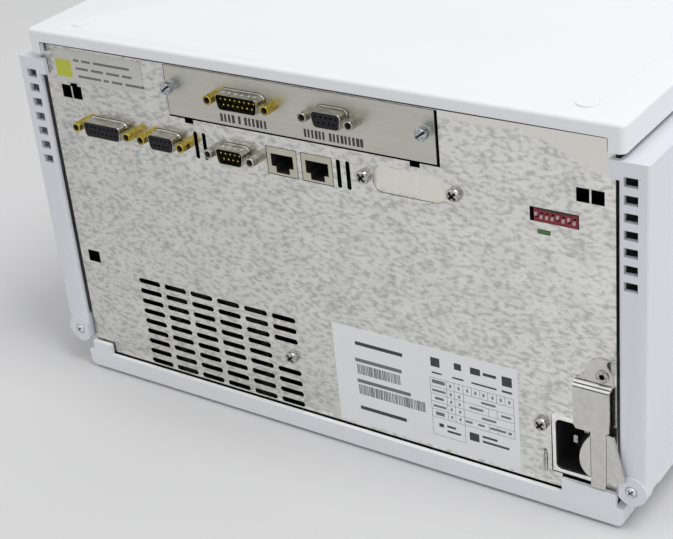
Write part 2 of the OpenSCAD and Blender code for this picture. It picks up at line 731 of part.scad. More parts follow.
// The security lever is one folded sheet on a hollow rivet. Its upper tab lies on the panel, a
// joggle steps it outward, and its lower plate has a half round finger tab and a flared wing.
tab_round = 8.6;
lever_l = panel_r + 19.3;
lever_r = panel_r + 1.8;
fold_x = panel_r + 10.8;
joggle_z = 72.4;
step_h = 1.6;
notch_z = 49.9;
notch_w = 1.2;
notch_h = 2.3;
lever_end = 20.3;
end_r = panel_r + 4.1;
finger_l_max = 5;
finger_turn = 35;
finger_low = 25.2;
finger_high = 48;
flange_x = panel_r + 1.3;
flange_low = 79;
flange_high = 90;
flange_out = 6.6;
wing_x = panel_r + 3.1;
wing_turn = 11.5;
wing_l = 9.8;
module security_lever() {
    y1 = panel_y + lever_t;
    y2 = y1 + lever_step;
    color(steel) difference() {
        union() {
            along_y(panel_y + run, y1) {
                translate([rivet_x, rivet_z]) intersection() {
                    circle(tab_round);
                    translate([flange_x - rivet_x, 0]) square([2 * tab_round, tab_round]);
                }
                polygon([[flange_x, joggle_z + step_h - eps], [lever_l, joggle_z + step_h - eps],
                    [lever_l, joggle_z + step_h + 0.4], [rivet_x + tab_round - 0.6, rivet_z + eps],
                    [flange_x, rivet_z + eps]]);
            }
            translate([flange_x, 0, 0]) rotate([90, 0, 90]) linear_extrude(lever_t)
                polygon([[panel_y + run, flange_low], [y1, flange_low],
                    [panel_y + flange_out, flange_high - 1.6], [panel_y + flange_out, flange_high],
                    [panel_y + run, flange_high - 2.5]]);
            translate([lever_r, 0, 0]) rotate([90, 0, 90]) linear_extrude(lever_l - lever_r)
                polygon([[panel_y + run, joggle_z + step_h], [y1, joggle_z + step_h],
                    [y2, joggle_z], [y2, joggle_z - 1], [y2 - lever_t, joggle_z - 1],
                    [y2 - lever_t, joggle_z - 0.5], [panel_y + run, joggle_z + step_h - 1]]);
            along_y(y2 - lever_t, y2)
                polygon([[lever_r, joggle_z - 1 + eps], [lever_l, joggle_z - 1 + eps],
                    [lever_l, notch_z + notch_h], [lever_l - notch_w, notch_z], [fold_x, notch_z],
                    [fold_x, lever_end], [end_r, lever_end], [wing_x, finger_low - 1],
                    [wing_x, notch_z + 0.8], [lever_r, notch_z + 1.6]]);
            translate([wing_x, y2, 0]) rotate([0, 0, -wing_turn]) along_y(-lever_t, 0)
                polygon([[eps, finger_low - 1], [eps, notch_z + 0.7], [-3.7, notch_z + 0.9],
                    [-wing_l, finger_low + 3.8]]);
            translate([fold_x, y2, 0]) rotate([0, 0, finger_turn]) along_y(-lever_t, 0) finger_outline();
        }
        rod_y(rivet_r + run, panel_y - 1, y2 + 9, rivet_x, rivet_z);
    }
}
finger_round = (pow((finger_high - finger_low) / 2, 2) + finger_l_max * finger_l_max) / (2 * finger_l_max);
module finger_outline() {
    intersection() {
        translate([finger_l_max - finger_round, (finger_low + finger_high) / 2])
            circle(finger_round, $fn = 96);
        translate([-0.4, finger_low]) square([finger_l_max + 1, finger_high - finger_low]);
    }
}

rivet_rim = 1.1;
rivet_head = 0.8;
module lever_rivet() {
    color(bright) difference() {
        union() {
            rod_y(rivet_r, panel_in - rivet_head, panel_y + lever_t + 0.4, rivet_x, rivet_z);
            rod_y(rivet_r + rivet_rim, panel_y + lever_t + run, panel_y + lever_t + rivet_head,
                rivet_x, rivet_z);
            rod_y(rivet_r + rivet_rim, panel_in - rivet_head, panel_in, rivet_x, rivet_z);
        }
        rod_y(rivet_r - 0.8, panel_in - 3, panel_y + 9, rivet_x, rivet_z);
    }
}

label_r = panel_r + label_margin;
label_l = panel_l - 163.4;
label_low = 13.6;
label_t = 0.15;
module rating_label() {
    color(white) box([label_r, panel_y, label_low], [label_l, panel_y + label_t, label_low + label_h]);
}
sticker_x = panel_l - 36.2;
sticker_z = slot_z + 3.5;
sticker_l = 57;
sticker_h = 16.9;
module notice_sticker() {
    color(cream) box([sticker_x - sticker_l / 2, panel_y, sticker_z - sticker_h / 2],
        [sticker_x + sticker_l / 2, panel_y + label_t, sticker_z + sticker_h / 2]);
}

// The fan hangs on the rear panel behind the vents.
fan_x = vent_x - (vent_cols - 1) / 2 * vent_pitch_x;
fan_z = chassis_floor + gap + fan_side / 2;
fan_d = 25;
fan_bore = 28;
fan_shaft = 3;
hub_r = 11;
blade_r = 26.5;
module fan_frame() {
    color(black) difference() {
        union() {
            difference() {
                box([fan_x - fan_side / 2, panel_in - fan_d, fan_z - fan_side / 2],
                    [fan_x + fan_side / 2, panel_in, fan_z + fan_side / 2]);
                rod_y(fan_bore, panel_in - fan_d - 1, panel_in + 1, fan_x, fan_z);
            }
            for (a = [0, 90]) translate([fan_x, panel_in - fan_d + 1.5, fan_z]) rotate([0, a, 0])
                cube([2 * fan_bore + 2, 3, 4], center = true);
            rod_y(fan_shaft + 2, panel_in - fan_d, panel_in - fan_d + 3, fan_x, fan_z);
            rod_y(fan_shaft, panel_in - fan_d + 1, panel_in - 6, fan_x, fan_z);
        }
    }
}
module fan_rotor() {
    color(black) difference() {
        union() {
            rod_y(hub_r, panel_in - fan_d + 3 + gap, panel_in - 4, fan_x, fan_z);
            for (i = [0 : 6]) translate([fan_x, panel_in - fan_d / 2, fan_z]) rotate([0, i * 360 / 7, 0])
                translate([(hub_r + blade_r) / 2 - 0.5, 0, 0]) rotate([38, 0, 0])
                    cube([blade_r - hub_r, 1.2, 15], center = true);
        }
        rod_y(fan_shaft + run, panel_in - fan_d, panel_in - 6 + gap, fan_x, fan_z);
    }
}

// The main board lies flat below the lower row of ports, on two rails of the chassis height.
board_t = 1.6;
main_board_z = row_z - jack_h / 2 - board_t;
main_board_front = 110;
chip_w = 28;
chip_h = 3;
board_cap_d = 9;
module main_board() {
    color(board) {
        difference() {
            box([-chassis_w / 2 + chassis_t, main_board_front, main_board_z],
                [chassis_w / 2 - chassis_t, panel_in - shell_back, main_board_z + board_t]);
            box([lamp_window_x - lamp_window_w / 2 - gap, panel_y - lamp_window_d - gap, main_board_z - 1],
                [lamp_window_x + lamp_window_w / 2 + gap, panel_y, lamp_window_z + lamp_window_h]);
        }
        for (p = [0 : 2]) along_y(panel_in - shell_back - 3 - board_cap_d, panel_in - shell_back - 3)
            translate([ports[p][1], (main_board_z + row_z) / 2])
                square([2 * shell_half(ports[p][0]) - 3, row_z - main_board_z + 4], center = true);
        box([switch_x - switch_w / 2, panel_y - switch_depth - 3, main_board_z + board_t - eps],
            [switch_x + switch_w / 2, panel_y - switch_depth, switch_z + switch_h / 2]);
        for (k = [-1, 0, 1]) translate([k * chassis_w / 3 - chip_w / 2, main_board_front + chip_w / 2, 0])
            translate([0, 0, main_board_z + board_t - eps]) cube([chip_w, chip_w, chip_h]);
    }
}

// The power supply is a closed steel box behind the inlet, with the switch that the rod works.
supply_w = 62;
supply_h = main_board_z - 36;
supply_back = panel_y - inlet_depth;
supply_x = -chassis_w / 2 + chassis_t + gap + supply_w / 2;
module power_supply() {
    color(satin) {
        box([supply_x - supply_w / 2, supply_front + 6, chassis_floor],
            [supply_x + supply_w / 2, supply_back, supply_h]);
        rod_y(button_rod_r + 2, supply_front, supply_front + 7, button_x, button_z);
    }
}

// The interface board slides into the slot and is screwed to the slot plate.
slot_board_z = slot_port_z - 9;
module slot_board() {
    color(board) {
        box([slot_x - slot_plate_w / 2 + 8, main_board_front, slot_board_z - board_t],
            [slot_x + slot_plate_w / 2 - 8, panel_in - shell_back, slot_board_z]);
        for (p = [3 : 4]) along_y(panel_in - shell_back - 3 - board_cap_d, panel_in - shell_back - 3)
            translate([ports[p][1], (slot_board_z + slot_port_z) / 2])
                square([2 * shell_half(ports[p][0]) - 3, slot_port_z - slot_board_z + 4], center = true);
    }
}

// The foam bed holds the mechanics by its shape, and the leak tray lies on it.
bay_back = 52;
foam_l = button_x + button_rod_r + 3;
foam_r = chassis_w / 2 - chassis_t - gap;
foam_top = chassis_floor + foam_h;
foam_pitch = (foam_r - foam_l) / 4;
foam_channel = 6;
tray_wall = 2;
tray_h = 10;
tray_floor = foam_top + tray_wall;
bay_front = chassis_front + 2;
module foam_bed() {
    color([0.25, 0.25, 0.27]) difference() {
        box([foam_l, bay_front, chassis_floor], [foam_r, bay_back, foam_top]);
        for (i = [0 : 3]) box([foam_l + (i + 0.28) * foam_pitch, bay_front - 1, chassis_floor - 1],
            [foam_l + (i + 0.68) * foam_pitch, bay_back + 1, chassis_floor + foam_channel]);
    }
}
module leak_tray() {
    color([0.75, 0.75, 0.72]) difference() {
        box([foam_l + 2, bay_front + 2, foam_top], [foam_r - 2, bay_back - 2, foam_top + tray_h]);
        box([foam_l + 2 + tray_wall, bay_front + 2 + tray_wall, tray_floor],
            [foam_r - 2 - tray_wall, bay_back - 2 - tray_wall, foam_top + tray_h + 1]);
    }
}

// The vial tray and its vials
vial_x0 = 10;
vial_y0 = -162;
vial_tray_h = 24;
vial_h = 32;
vial_floor = tray_floor + 3;
vial_side = vials_per_side * vial_pitch;
vial_margin = vial_pitch / 2;
module vial_tray() {
    color([0.3, 0.35, 0.45]) difference() {
        box([vial_x0 - vial_margin, vial_y0 - vial_margin, tray_floor],
            [vial_x0 - vial_margin + vial_side, vial_y0 - vial_margin + vial_side, tray_floor + vial_tray_h]);
        for (i = [0 : vials_per_side - 1], j = [0 : vials_per_side - 1])
            translate([vial_x0 + i * vial_pitch, vial_y0 + j * vial_pitch, vial_floor])
                cylinder(r = vial_r + gap, h = vial_tray_h, $fn = 24);
    }
}
module vials() {
    color([0.85, 0.9, 0.92]) for (i = [0 : vials_per_side - 1], j = [0 : vials_per_side - 1])
        translate([vial_x0 + i * vial_pitch, vial_y0 + j * vial_pitch, vial_floor]) {
            cylinder(r = vial_r, h = vial_h - 9, $fn = 24);
            translate([0, 0, vial_h - 9]) cylinder(r = vial_r - 2, h = 4, $fn = 24);
            translate([0, 0, vial_h - 6]) cylinder(r = vial_r - 0.3, h = 6, $fn = 24);
        }
}

// The transport: two end plates, two rails, a carriage, a lift arm and a pair of fingers
frame_l = foam_l + 6;
frame_r = foam_r - 6;
frame_front = 14;
frame_back = bay_back - 2 - tray_wall - gap;
frame_t = 6;
frame_top = cover_low - 14.9;
rail_y = (frame_front + frame_back) / 2 + 4;
rail_z = [cover_low - 54.9, cover_low - 26.9];
module transport_frame() {
    color(satin) for (x = [frame_l, frame_r - frame_t])
        box([x, frame_front, tray_floor], [x + frame_t, frame_back, frame_top]);
}
module transport_rails() {
    color(bright) for (z = rail_z) rod_x(rail_r, frame_l + frame_t, frame_r - frame_t, rail_y, z);
}
carriage_x = vial_x0;
carriage_w = 36;
carriage_d = 20;
module carriage() {
    color(black) difference() {
        box([carriage_x - carriage_w / 2, rail_y - carriage_d / 2, rail_z[0] - 9],
            [carriage_x + carriage_w / 2, rail_y + carriage_d / 2, rail_z[1] + 9]);
        for (z = rail_z) rod_x(rail_r + run, carriage_x - carriage_w, carriage_x + carriage_w, rail_y, z);
        box([carriage_x - 6 - run, rail_y - carriage_d / 2 - 1, rail_z[0] - 10],
            [carriage_x + 6 + run, rail_y - carriage_d / 2 + 4 + run, rail_z[1] + 10]);
    }
}
arm_top = rail_z[1] + 9;
arm_low = rail_z[0] - 34;
arm_h = 9;
grip_y = vial_y0 + 3 * vial_pitch;
arm_back = rail_y - carriage_d / 2 + 4;
module lift_arm() {
    color(satin) {
        box([carriage_x - 6, arm_back - 6, arm_low], [carriage_x + 6, arm_back, arm_top]);
        box([carriage_x - 6, grip_y - 8, arm_low], [carriage_x + 6, arm_back - 6 + eps, arm_low + arm_h]);
        box([carriage_x - 15, grip_y - 6, arm_low], [carriage_x + 15, grip_y + 6, arm_low + arm_h]);
    }
}
// The fingers hang under the arm and close on a vial's cap together.
finger_gap = vial_r + 1.6;
finger_t = 3;
finger_l = 12;
finger_travel = 1.2;
module finger() {
    box([carriage_x + finger_gap, grip_y - 3, arm_low - finger_l],
        [carriage_x + finger_gap + finger_t, grip_y + 3, arm_low - gap]);
}
module right_finger() {
    color(bright) finger();
}
module left_finger() {
    color(bright) translate([2 * carriage_x, 0, 0]) mirror([1, 0, 0]) finger();
}

// The sampling unit: a block with a guide post, a needle arm, a metering plunger and a valve
unit_l = foam_l + 10;
unit_w = 70;
unit_front = bay_front + 8;
unit_d = 74;
unit_top = tray_floor + 28;
post_r = 5;
post_x = unit_l + 12;
post_y = unit_front + 14;
post_top = cover_low - 32.9;
needle_x = unit_l + 46;
needle_y = post_y + 22;
needle_drop = 33;
plunger_r = 4;
plunger_x = unit_l + 14;
plunger_z = tray_floor + 14;
plunger_l = 46;
plunger_travel = 15;
module sampling_unit() {
    color([0.55, 0.56, 0.58]) {
        difference() {
            box([unit_l, unit_front, tray_floor], [unit_l + unit_w, unit_front + unit_d, unit_top]);
            rod_y(plunger_r + run, unit_front + unit_d - plunger_l, unit_front + unit_d + 1,
                plunger_x, plunger_z);
        }
        translate([post_x, post_y, unit_top - eps]) cylinder(r = post_r, h = post_top - unit_top);
        translate([needle_x, needle_y, unit_top - eps]) cylinder(r = 4, h = 2);
    }
}
arm_z = post_top - 32;
needle_r = 0.6;
module needle_arm() {
    color(satin) difference() {
        union() {
            translate([post_x, post_y, arm_z]) cylinder(r = post_r + 5, h = 16);
            hull() {
                translate([post_x, post_y, arm_z]) cylinder(r = 5, h = 8, $fn = 32);
                translate([needle_x, needle_y, arm_z]) cylinder(r = 5, h = 8, $fn = 32);
            }
        }
        translate([post_x, post_y, arm_z - 1]) cylinder(r = post_r + run, h = 18);
        translate([needle_x, needle_y, arm_z - 1]) cylinder(r = needle_r + run, h = 10, $fn = 24);
    }
}
module needle() {
    color(bright) translate([needle_x, needle_y, unit_top + 2 + needle_drop + gap]) {
        cylinder(r = needle_r, h = arm_z + 8 - unit_top - 2 - needle_drop - gap, $fn = 24);
        translate([0, 0, arm_z + 8 - unit_top - 2 - needle_drop - gap]) cylinder(r = 2.5, h = 5);
    }
}
module metering_plunger() {
    color(bright) {
        rod_y(plunger_r, unit_front + unit_d - plunger_l + 2, unit_front + unit_d + 3, plunger_x, plunger_z);
        rod_y(plunger_r + 3, unit_front + unit_d + gap, unit_front + unit_d + 5, plunger_x, plunger_z);
    }
}
valve_y = unit_front + 40;
valve_z = unit_top - 14;
valve_r = 13;
rotor_r = 8;
valve_end = unit_l + unit_w + 20;
rotor_t = 6;
module injection_valve() {
    color(satin) difference() {
        rod_x(valve_r, unit_l + unit_w, valve_end, valve_y, valve_z);
        rod_x(rotor_r + run, valve_end - rotor_t - gap, valve_end + 1, valve_y, valve_z);
    }
}
module valve_rotor() {
    color(black) {
        rod_x(rotor_r, valve_end - rotor_t, valve_end, valve_y, valve_z);
        box([valve_end - eps, valve_y - 6, valve_z - 1.5], [valve_end + 3, valve_y + 6, valve_z + 1.5]);
    }
}

top_cover();
left_side_panel();
right_side_panel();
base_tray();
feet();
front_cover();
front_door();
power_button();
status_lamp();
rear_panel();
inner_chassis();
slot_plate();
blank_plate();
captive_screws();
pan_head_screws();
connector_shells();
connector_inserts();
connector_pins();
gold_jackscrews();
steel_jackscrews();
jack_housings();
jack_contacts();
switch_block();
switch_lever(0);  // switch_lever_1
switch_lever(1);  // switch_lever_2
switch_lever(2);  // switch_lever_3
switch_lever(3);  // switch_lever_4
switch_lever(4);  // switch_lever_5
switch_lever(5);  // switch_lever_6
switch_lever(6);  // switch_lever_7
switch_lever(7);  // switch_lever_8
lamp_window();
inlet_body();
inlet_frame();
inlet_prongs();
security_lever();
lever_rivet();
rating_label();
notice_sticker();
fan_frame();
fan_rotor();
power_supply();
main_board();
slot_board();
foam_bed();
leak_tray();
vial_tray();
vials();
transport_frame();
transport_rails();
carriage();
lift_arm();
left_finger();
right_finger();
sampling_unit();
needle_arm();
needle();
metering_plunger();
injection_valve();
valve_rotor();
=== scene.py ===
import math

import bmesh
import bpy
import numpy as np
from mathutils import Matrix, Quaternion, Vector


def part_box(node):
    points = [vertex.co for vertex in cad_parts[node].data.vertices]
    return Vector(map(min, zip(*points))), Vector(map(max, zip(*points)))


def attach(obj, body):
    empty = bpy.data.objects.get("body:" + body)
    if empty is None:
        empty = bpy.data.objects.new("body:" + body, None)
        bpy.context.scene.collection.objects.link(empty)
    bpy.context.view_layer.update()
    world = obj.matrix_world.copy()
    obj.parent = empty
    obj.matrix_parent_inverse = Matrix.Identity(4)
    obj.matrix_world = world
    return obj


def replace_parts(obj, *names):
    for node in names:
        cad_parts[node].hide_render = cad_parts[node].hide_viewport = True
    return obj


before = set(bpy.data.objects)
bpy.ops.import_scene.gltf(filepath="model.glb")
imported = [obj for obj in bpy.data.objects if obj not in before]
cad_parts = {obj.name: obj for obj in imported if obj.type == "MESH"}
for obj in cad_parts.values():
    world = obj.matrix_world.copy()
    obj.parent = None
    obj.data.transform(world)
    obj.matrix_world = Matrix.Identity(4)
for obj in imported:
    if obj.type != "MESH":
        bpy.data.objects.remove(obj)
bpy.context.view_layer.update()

MM = 0.001

# The camera stands to the right of the rear panel and above it, as the photographer did. Its
# place comes from the perspective of the ports, vents and edges, and it is rolled a little.
camera_at = Vector((-0.39432, 0.72437, 0.44667))
camera_aim = Vector((-0.01297, 0.2105, 0.09964))
camera_roll = -5.88
camera_lens = 82.18
camera_sensor = 36
camera_near = 0.01
camera = bpy.data.objects.new("camera", bpy.data.cameras.new("camera"))
camera.data.lens = camera_lens
camera.data.sensor_width = camera_sensor
camera.data.clip_start = camera_near
camera.location = camera_at
camera.rotation_mode = "QUATERNION"
camera.rotation_quaternion = (camera_aim - camera_at).to_track_quat("-Z", "Y") @ Quaternion(
    (0, 0, 1), math.radians(camera_roll))
bpy.context.scene.collection.objects.link(camera)
bpy.context.scene.camera = camera

# Plain soft studio light: a pale world and one large lamp overhead, a little towards the rear and
# the right of the picture, so that the lid reads white and the upright faces a shade darker.
scene = bpy.context.scene
scene.view_settings.view_transform = "Standard"
world = bpy.data.worlds.new("studio")
scene.world = world
world.use_nodes = True
world_light = 0.62
backdrop_white = 0.93
lamp_at = (-0.95, 0.3, 2.05)
lamp_aim = (0, 0, 0.1)
lamp_size = 1.0
lamp_watts = 23


def only_seen(tree, lit, seen):
    """Mixes two shaders: the plain lit one, and the seen one for camera, glossy and transmission rays."""
    path = tree.nodes.new("ShaderNodeLightPath")
    first = tree.nodes.new("ShaderNodeMath")
    first.operation = "MAXIMUM"
    tree.links.new(path.outputs["Is Camera Ray"], first.inputs[0])
    tree.links.new(path.outputs["Is Glossy Ray"], first.inputs[1])
    second = tree.nodes.new("ShaderNodeMath")
    second.operation = "MAXIMUM"
    tree.links.new(first.outputs[0], second.inputs[0])
    tree.links.new(path.outputs["Is Transmission Ray"], second.inputs[1])
    mix = tree.nodes.new("ShaderNodeMixShader")
    tree.links.new(second.outputs[0], mix.inputs[0])
    tree.links.new(lit.outputs[0], mix.inputs[1])
    tree.links.new(seen.outputs[0], mix.inputs[2])
    return mix


sky = world.node_tree.nodes["Background"]
sky.inputs["Color"].default_value = (1, 1, 1, 1)
sky.inputs["Strength"].default_value = world_light
seen_sky = world.node_tree.nodes.new("ShaderNodeBackground")
seen_sky.inputs["Color"].default_value = (backdrop_white, backdrop_white, backdrop_white, 1)
world.node_tree.links.new(only_seen(world.node_tree, sky, seen_sky).outputs[0],
                          world.node_tree.nodes["World Output"].inputs["Surface"])


def lamp(name, place, aim, size, power):
    """A square area lamp at a place, pointed at another."""
    light = bpy.data.objects.new(name, bpy.data.lights.new(name, "AREA"))
    light.data.size = size
    light.data.energy = power
    light.location = place
    light.rotation_mode = "QUATERNION"
    light.rotation_quaternion = (Vector(aim) - Vector(place)).to_track_quat("-Z", "Y")
    scene.collection.objects.link(light)


lamp("overhead", lamp_at, lamp_aim, lamp_size, lamp_watts)

# The bench is a plain pale sheet that the module stands on, with a dull and even face. It is wide
# enough to fill every view, and isn't part of the module.
bench_shade = 0.71
bench_half = 6


def finish(name, colour, rough, metal=0.0, mottle=0.03, patch=0.02, grain=0.0, grit=0.0006,
           stretch=(1, 1, 1), coat=0.0, detail=3, span=(0.3, 0.7)):
    """A surface finish. The colour is multiplied by 1 minus to 1 plus mottle, by a noise whose
    patches have the given size, read between the two values of span; the roughness follows the
    same noise; and a finer noise of the size grit lifts the surface by grain metres. Stretch
    draws both noises out along an axis."""
    material = bpy.data.materials.new(name)
    material.use_nodes = True
    tree = material.node_tree
    shader = tree.nodes["Principled BSDF"]
    shader.inputs["Metallic"].default_value = metal
    shader.inputs["Coat Weight"].default_value = coat
    place = tree.nodes.new("ShaderNodeTexCoord")
    turn = tree.nodes.new("ShaderNodeMapping")
    turn.inputs["Scale"].default_value = stretch
    tree.links.new(place.outputs["Object"], turn.inputs["Vector"])
    patches = tree.nodes.new("ShaderNodeTexNoise")
    patches.inputs["Scale"].default_value = 1 / patch
    patches.inputs["Detail"].default_value = detail
    tree.links.new(turn.outputs[0], patches.inputs["Vector"])
    spread = tree.nodes.new("ShaderNodeMapRange")
    spread.inputs["From Min"].default_value = span[0]
    spread.inputs["From Max"].default_value = span[1]
    tree.links.new(patches.outputs["Fac"], spread.inputs["Value"])
    tint = tree.nodes.new("ShaderNodeMix")
    tint.data_type = "RGBA"
    tint.inputs["A"].default_value = (*[c * (1 - mottle) for c in colour], 1)
    tint.inputs["B"].default_value = (*[min(1.0, c * (1 + mottle)) for c in colour], 1)
    tree.links.new(spread.outputs[0], tint.inputs["Factor"])
    tree.links.new(tint.outputs["Result"], shader.inputs["Base Color"])
    haze = tree.nodes.new("ShaderNodeMapRange")
    haze.inputs["To Min"].default_value = rough * 0.88
    haze.inputs["To Max"].default_value = min(1.0, rough * 1.12)
    tree.links.new(patches.outputs["Fac"], haze.inputs["Value"])
    tree.links.new(haze.outputs[0], shader.inputs["Roughness"])
    if grain:
        grains = tree.nodes.new("ShaderNodeTexNoise")
        grains.inputs["Scale"].default_value = 1 / grit
        tree.links.new(turn.outputs[0], grains.inputs["Vector"])
        bump = tree.nodes.new("ShaderNodeBump")
        bump.inputs["Distance"].default_value = grain
        tree.links.new(grains.outputs["Fac"], bump.inputs["Height"])
        tree.links.new(bump.outputs[0], shader.inputs["Normal"])
    return material


bench_mesh = bpy.data.meshes.new("bench")
bench_corners = [(-bench_half, -bench_half, 0), (bench_half, -bench_half, 0), (bench_half, bench_half, 0),
                 (-bench_half, bench_half, 0)]
bench_mesh.from_pydata(bench_corners, [], [(0, 1, 2, 3)])
bench = bpy.data.objects.new("bench", bench_mesh)
scene.collection.objects.link(bench)
bench_finish = finish("bench_top", (bench_shade, bench_shade, bench_shade * 1.01), 0.7, mottle=0.01,
                      patch=0.4)
bench_mesh.materials.append(bench_finish)

# The base tray is one moulding of pale grey plastic with a raised stretch below the inlet. A painted
# highlight lies along the top edges of its rear rim, the stretch and the boss. Four rubber feet are
# glued into its underside.
moulding_grain = dict(rough=0.42, grain=0.00002, grit=0.0007)
base_plastic = finish("base_plastic", (0.81, 0.815, 0.86), mottle=0.012, patch=0.05, **moulding_grain)
rubber = finish("foot_rubber", (0.03, 0.03, 0.03), 0.8, mottle=0.15, patch=0.004, grain=0.00004)
# Painted highlight: a brighter copy of the tray's plastic for the top edges of the rim, stretch and boss
rim_painted_highlight = finish("rim_painted_highlight", (0.97, 0.97, 0.98), 0.35, mottle=0.01, patch=0.01)
# Heights of the painted highlight: on the rim, the stretch below the inlet and the boss over the tray's
# underside
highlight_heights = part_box("base_tray")[0].z / MM + np.array([9.6, 15.8, 17.2])
highlight_reach = 0.05
tray_edge = 0.35 * MM


def dress(node, material):
    """Gives a CAD node its finish."""
    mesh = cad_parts[node].data
    mesh.materials.clear()
    mesh.materials.append(material)


def soften(node, name, material, body, edge, angle=35, steps=2):
    """Stands for a CAD node with a copy of its mesh: the loose triangles are joined, flat faces
    made whole, and edges sharper than the angle rounded by the radius edge, in metres."""
    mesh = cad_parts[node].data.copy()
    mesh.name = name
    work = bmesh.new()
    work.from_mesh(mesh)
    bmesh.ops.remove_doubles(work, verts=work.verts, dist=2e-6)
    bmesh.ops.dissolve_limit(work, angle_limit=math.radians(0.5), verts=work.verts,
                             edges=work.edges)
    for face in work.faces:
        face.smooth = True
    work.to_mesh(mesh)
    work.free()
    mesh.materials.clear()
    mesh.materials.append(material)
    piece = bpy.data.objects.new(name, mesh)
    scene.collection.objects.link(piece)
    if edge:
        bevel = piece.modifiers.new("edges", "BEVEL")
        bevel.width = edge
        bevel.segments = steps
        bevel.limit_method = "ANGLE"
        bevel.angle_limit = math.radians(angle)
        bevel.harden_normals = True
    mesh.set_sharp_from_angle(angle=math.radians(angle))
    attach(piece, body)
    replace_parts(piece, node)
    return piece


def part_finish(piece, material, chosen):
    """Gives a further finish to the faces whose middles chosen, a function of points, picks."""
    piece.data.materials.append(material)
    middles = np.empty(3 * len(piece.data.polygons))
    piece.data.polygons.foreach_get("center", middles)
    slots = np.empty(len(piece.data.polygons), np.int32)
    piece.data.polygons.foreach_get("material_index", slots)
    slots[chosen(middles.reshape(-1, 3))] = len(piece.data.materials) - 1
    piece.data.polygons.foreach_set("material_index", slots)


tray = soften("base_tray", "base_moulding", base_plastic, "case", tray_edge)
# Paints the highlight on the faces that lie at those heights
part_finish(tray, rim_painted_highlight,
            lambda middles: np.abs(middles[:, 2:] / MM - highlight_heights).min(-1) < highlight_reach)
dress("feet", rubber)

# The chassis is folded from plated steel sheet, and the supply is a closed box of the same sheet
# on its floor, behind the inlet. The inner chassis gets a darker copy of the sheet as painted shade.
chassis_sheet = finish("plated_sheet", (0.52, 0.52, 0.50), 0.38, metal=1.0, mottle=0.08,
                       patch=0.006, stretch=(1, 0.2, 1))
# Painted shade: the plated sheet made darker, for the inner chassis
chassis_painted_shade = finish("shaded_sheet", (0.20, 0.20, 0.20), 0.5, metal=1.0, mottle=0.1, patch=0.006)
dress("inner_chassis", chassis_painted_shade)
dress("power_supply", chassis_sheet)

# Two circuit boards of green laminate carry the ports: the main board below, and the interface
# board above it, behind the slot plate.
laminate = finish("board_laminate", (0.012, 0.07, 0.035), 0.4, mottle=0.25, patch=0.003)
dress("main_board", laminate)
dress("slot_board", laminate)

# The foam bed is moulded bead foam. The leak tray of grey plastic lies on it and holds the vial
# tray with its glass vials.
bead_foam = finish("bead_foam", (0.11, 0.11, 0.13), 0.9, mottle=0.25, patch=0.004, grain=0.0003,
                   grit=0.003)
tray_plastic = finish("leak_tray_plastic", (0.62, 0.62, 0.58), 0.5, mottle=0.03)
rack_plastic = finish("vial_tray_plastic", (0.10, 0.14, 0.24), 0.5, mottle=0.05)
soften("foam_bed", "foam_block", bead_foam, "case", 3 * MM)
soften("leak_tray", "leak_pan", tray_plastic, "case", 0.6 * MM)
dress("vial_tray", rack_plastic)
vial_glass = finish("vial_glass", (0.86, 0.92, 0.93), 0.06, mottle=0.02, coat=0.2)
vial_glass.node_tree.nodes["Principled BSDF"].inputs["Transmission Weight"].default_value = 0.85
dress("vials", vial_glass)

# The transport and the sampling unit are machined aluminium on ground steel rails and a post.
# The carriage and the valve's rotor are black plastic.
machined = finish("machined_metal", (0.62, 0.63, 0.64), 0.35, metal=1.0, mottle=0.05, patch=0.004,
                  stretch=(1, 1, 0.2))
ground_steel = finish("ground_steel", (0.72, 0.72, 0.71), 0.18, metal=1.0, mottle=0.04,
                      patch=0.002)
black_plastic = finish("black_moulding", (0.022, 0.022, 0.025), 0.45, mottle=0.12, patch=0.004,
                       grain=0.00002)
for part in ("transport_frame", "lift_arm", "sampling_unit", "needle_arm", "injection_valve"):
    dress(part, machined)
for part in ("transport_rails", "left_finger", "right_finger", "needle", "metering_plunger"):
    dress(part, ground_steel)
for part in ("carriage", "valve_rotor"):
    dress(part, black_plastic)

# The fan is a square black frame with a seven-bladed rotor, screwed behind the vents. Its matt
# plastic is nearly black.
fan_black = finish("fan_moulding", (0.006, 0.006, 0.006), 0.9, mottle=0.1, patch=0.004)
fan_black.node_tree.nodes["Principled BSDF"].inputs["Specular IOR Level"].default_value = 0.1
for part in ("fan_frame", "fan_rotor"):
    dress(part, fan_black)

# The rear panel is one polished stainless sheet, punched and lanced. Its polish is a little wavy, and
# painted grey flecks in its colour stand for what it mirrors; a painted reflection of a pale wall covers
# its upper right corner, and painted shade makes it darker towards +X.
panel_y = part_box("rear_panel")[0].y + 1 * MM
# The mottle in this colour is painted reflection: grey flecks for what the wavy polish mirrors
polished = finish("polished_sheet", (0.625, 0.623, 0.60), 0.2, metal=1.0, mottle=0.2, patch=0.0024,
                  grain=0.00001, grit=0.006, stretch=(0.68, 1, 1.3), detail=4, span=(0.34, 0.55))
# The colour of the painted reflection of a pale wall in the upper right corner
painted_wall_reflection = (0.78, 0.77, 0.715, 1)
# Painted shade: how much darker the panel gets per metre towards +X
painted_fade_per_metre = 0.6
# The edge of the painted reflection in the pale corner: its height at the middle of the slope, its slope and
# its highest height
pale_at = (-0.128, 0.183)
pale_slope = 0.37
pale_most = 0.1885
pale_wave = 0.004
wave_size = 1 / 45
# How far below and above its edge the painted reflection fades in, and the X at which it stops
pale_soft = (-0.0004, 0.0008)
pale_stop = -0.073
cloud_size = 0.013
cloud_depth = 0.05
noise_span = (0.3, 0.7)


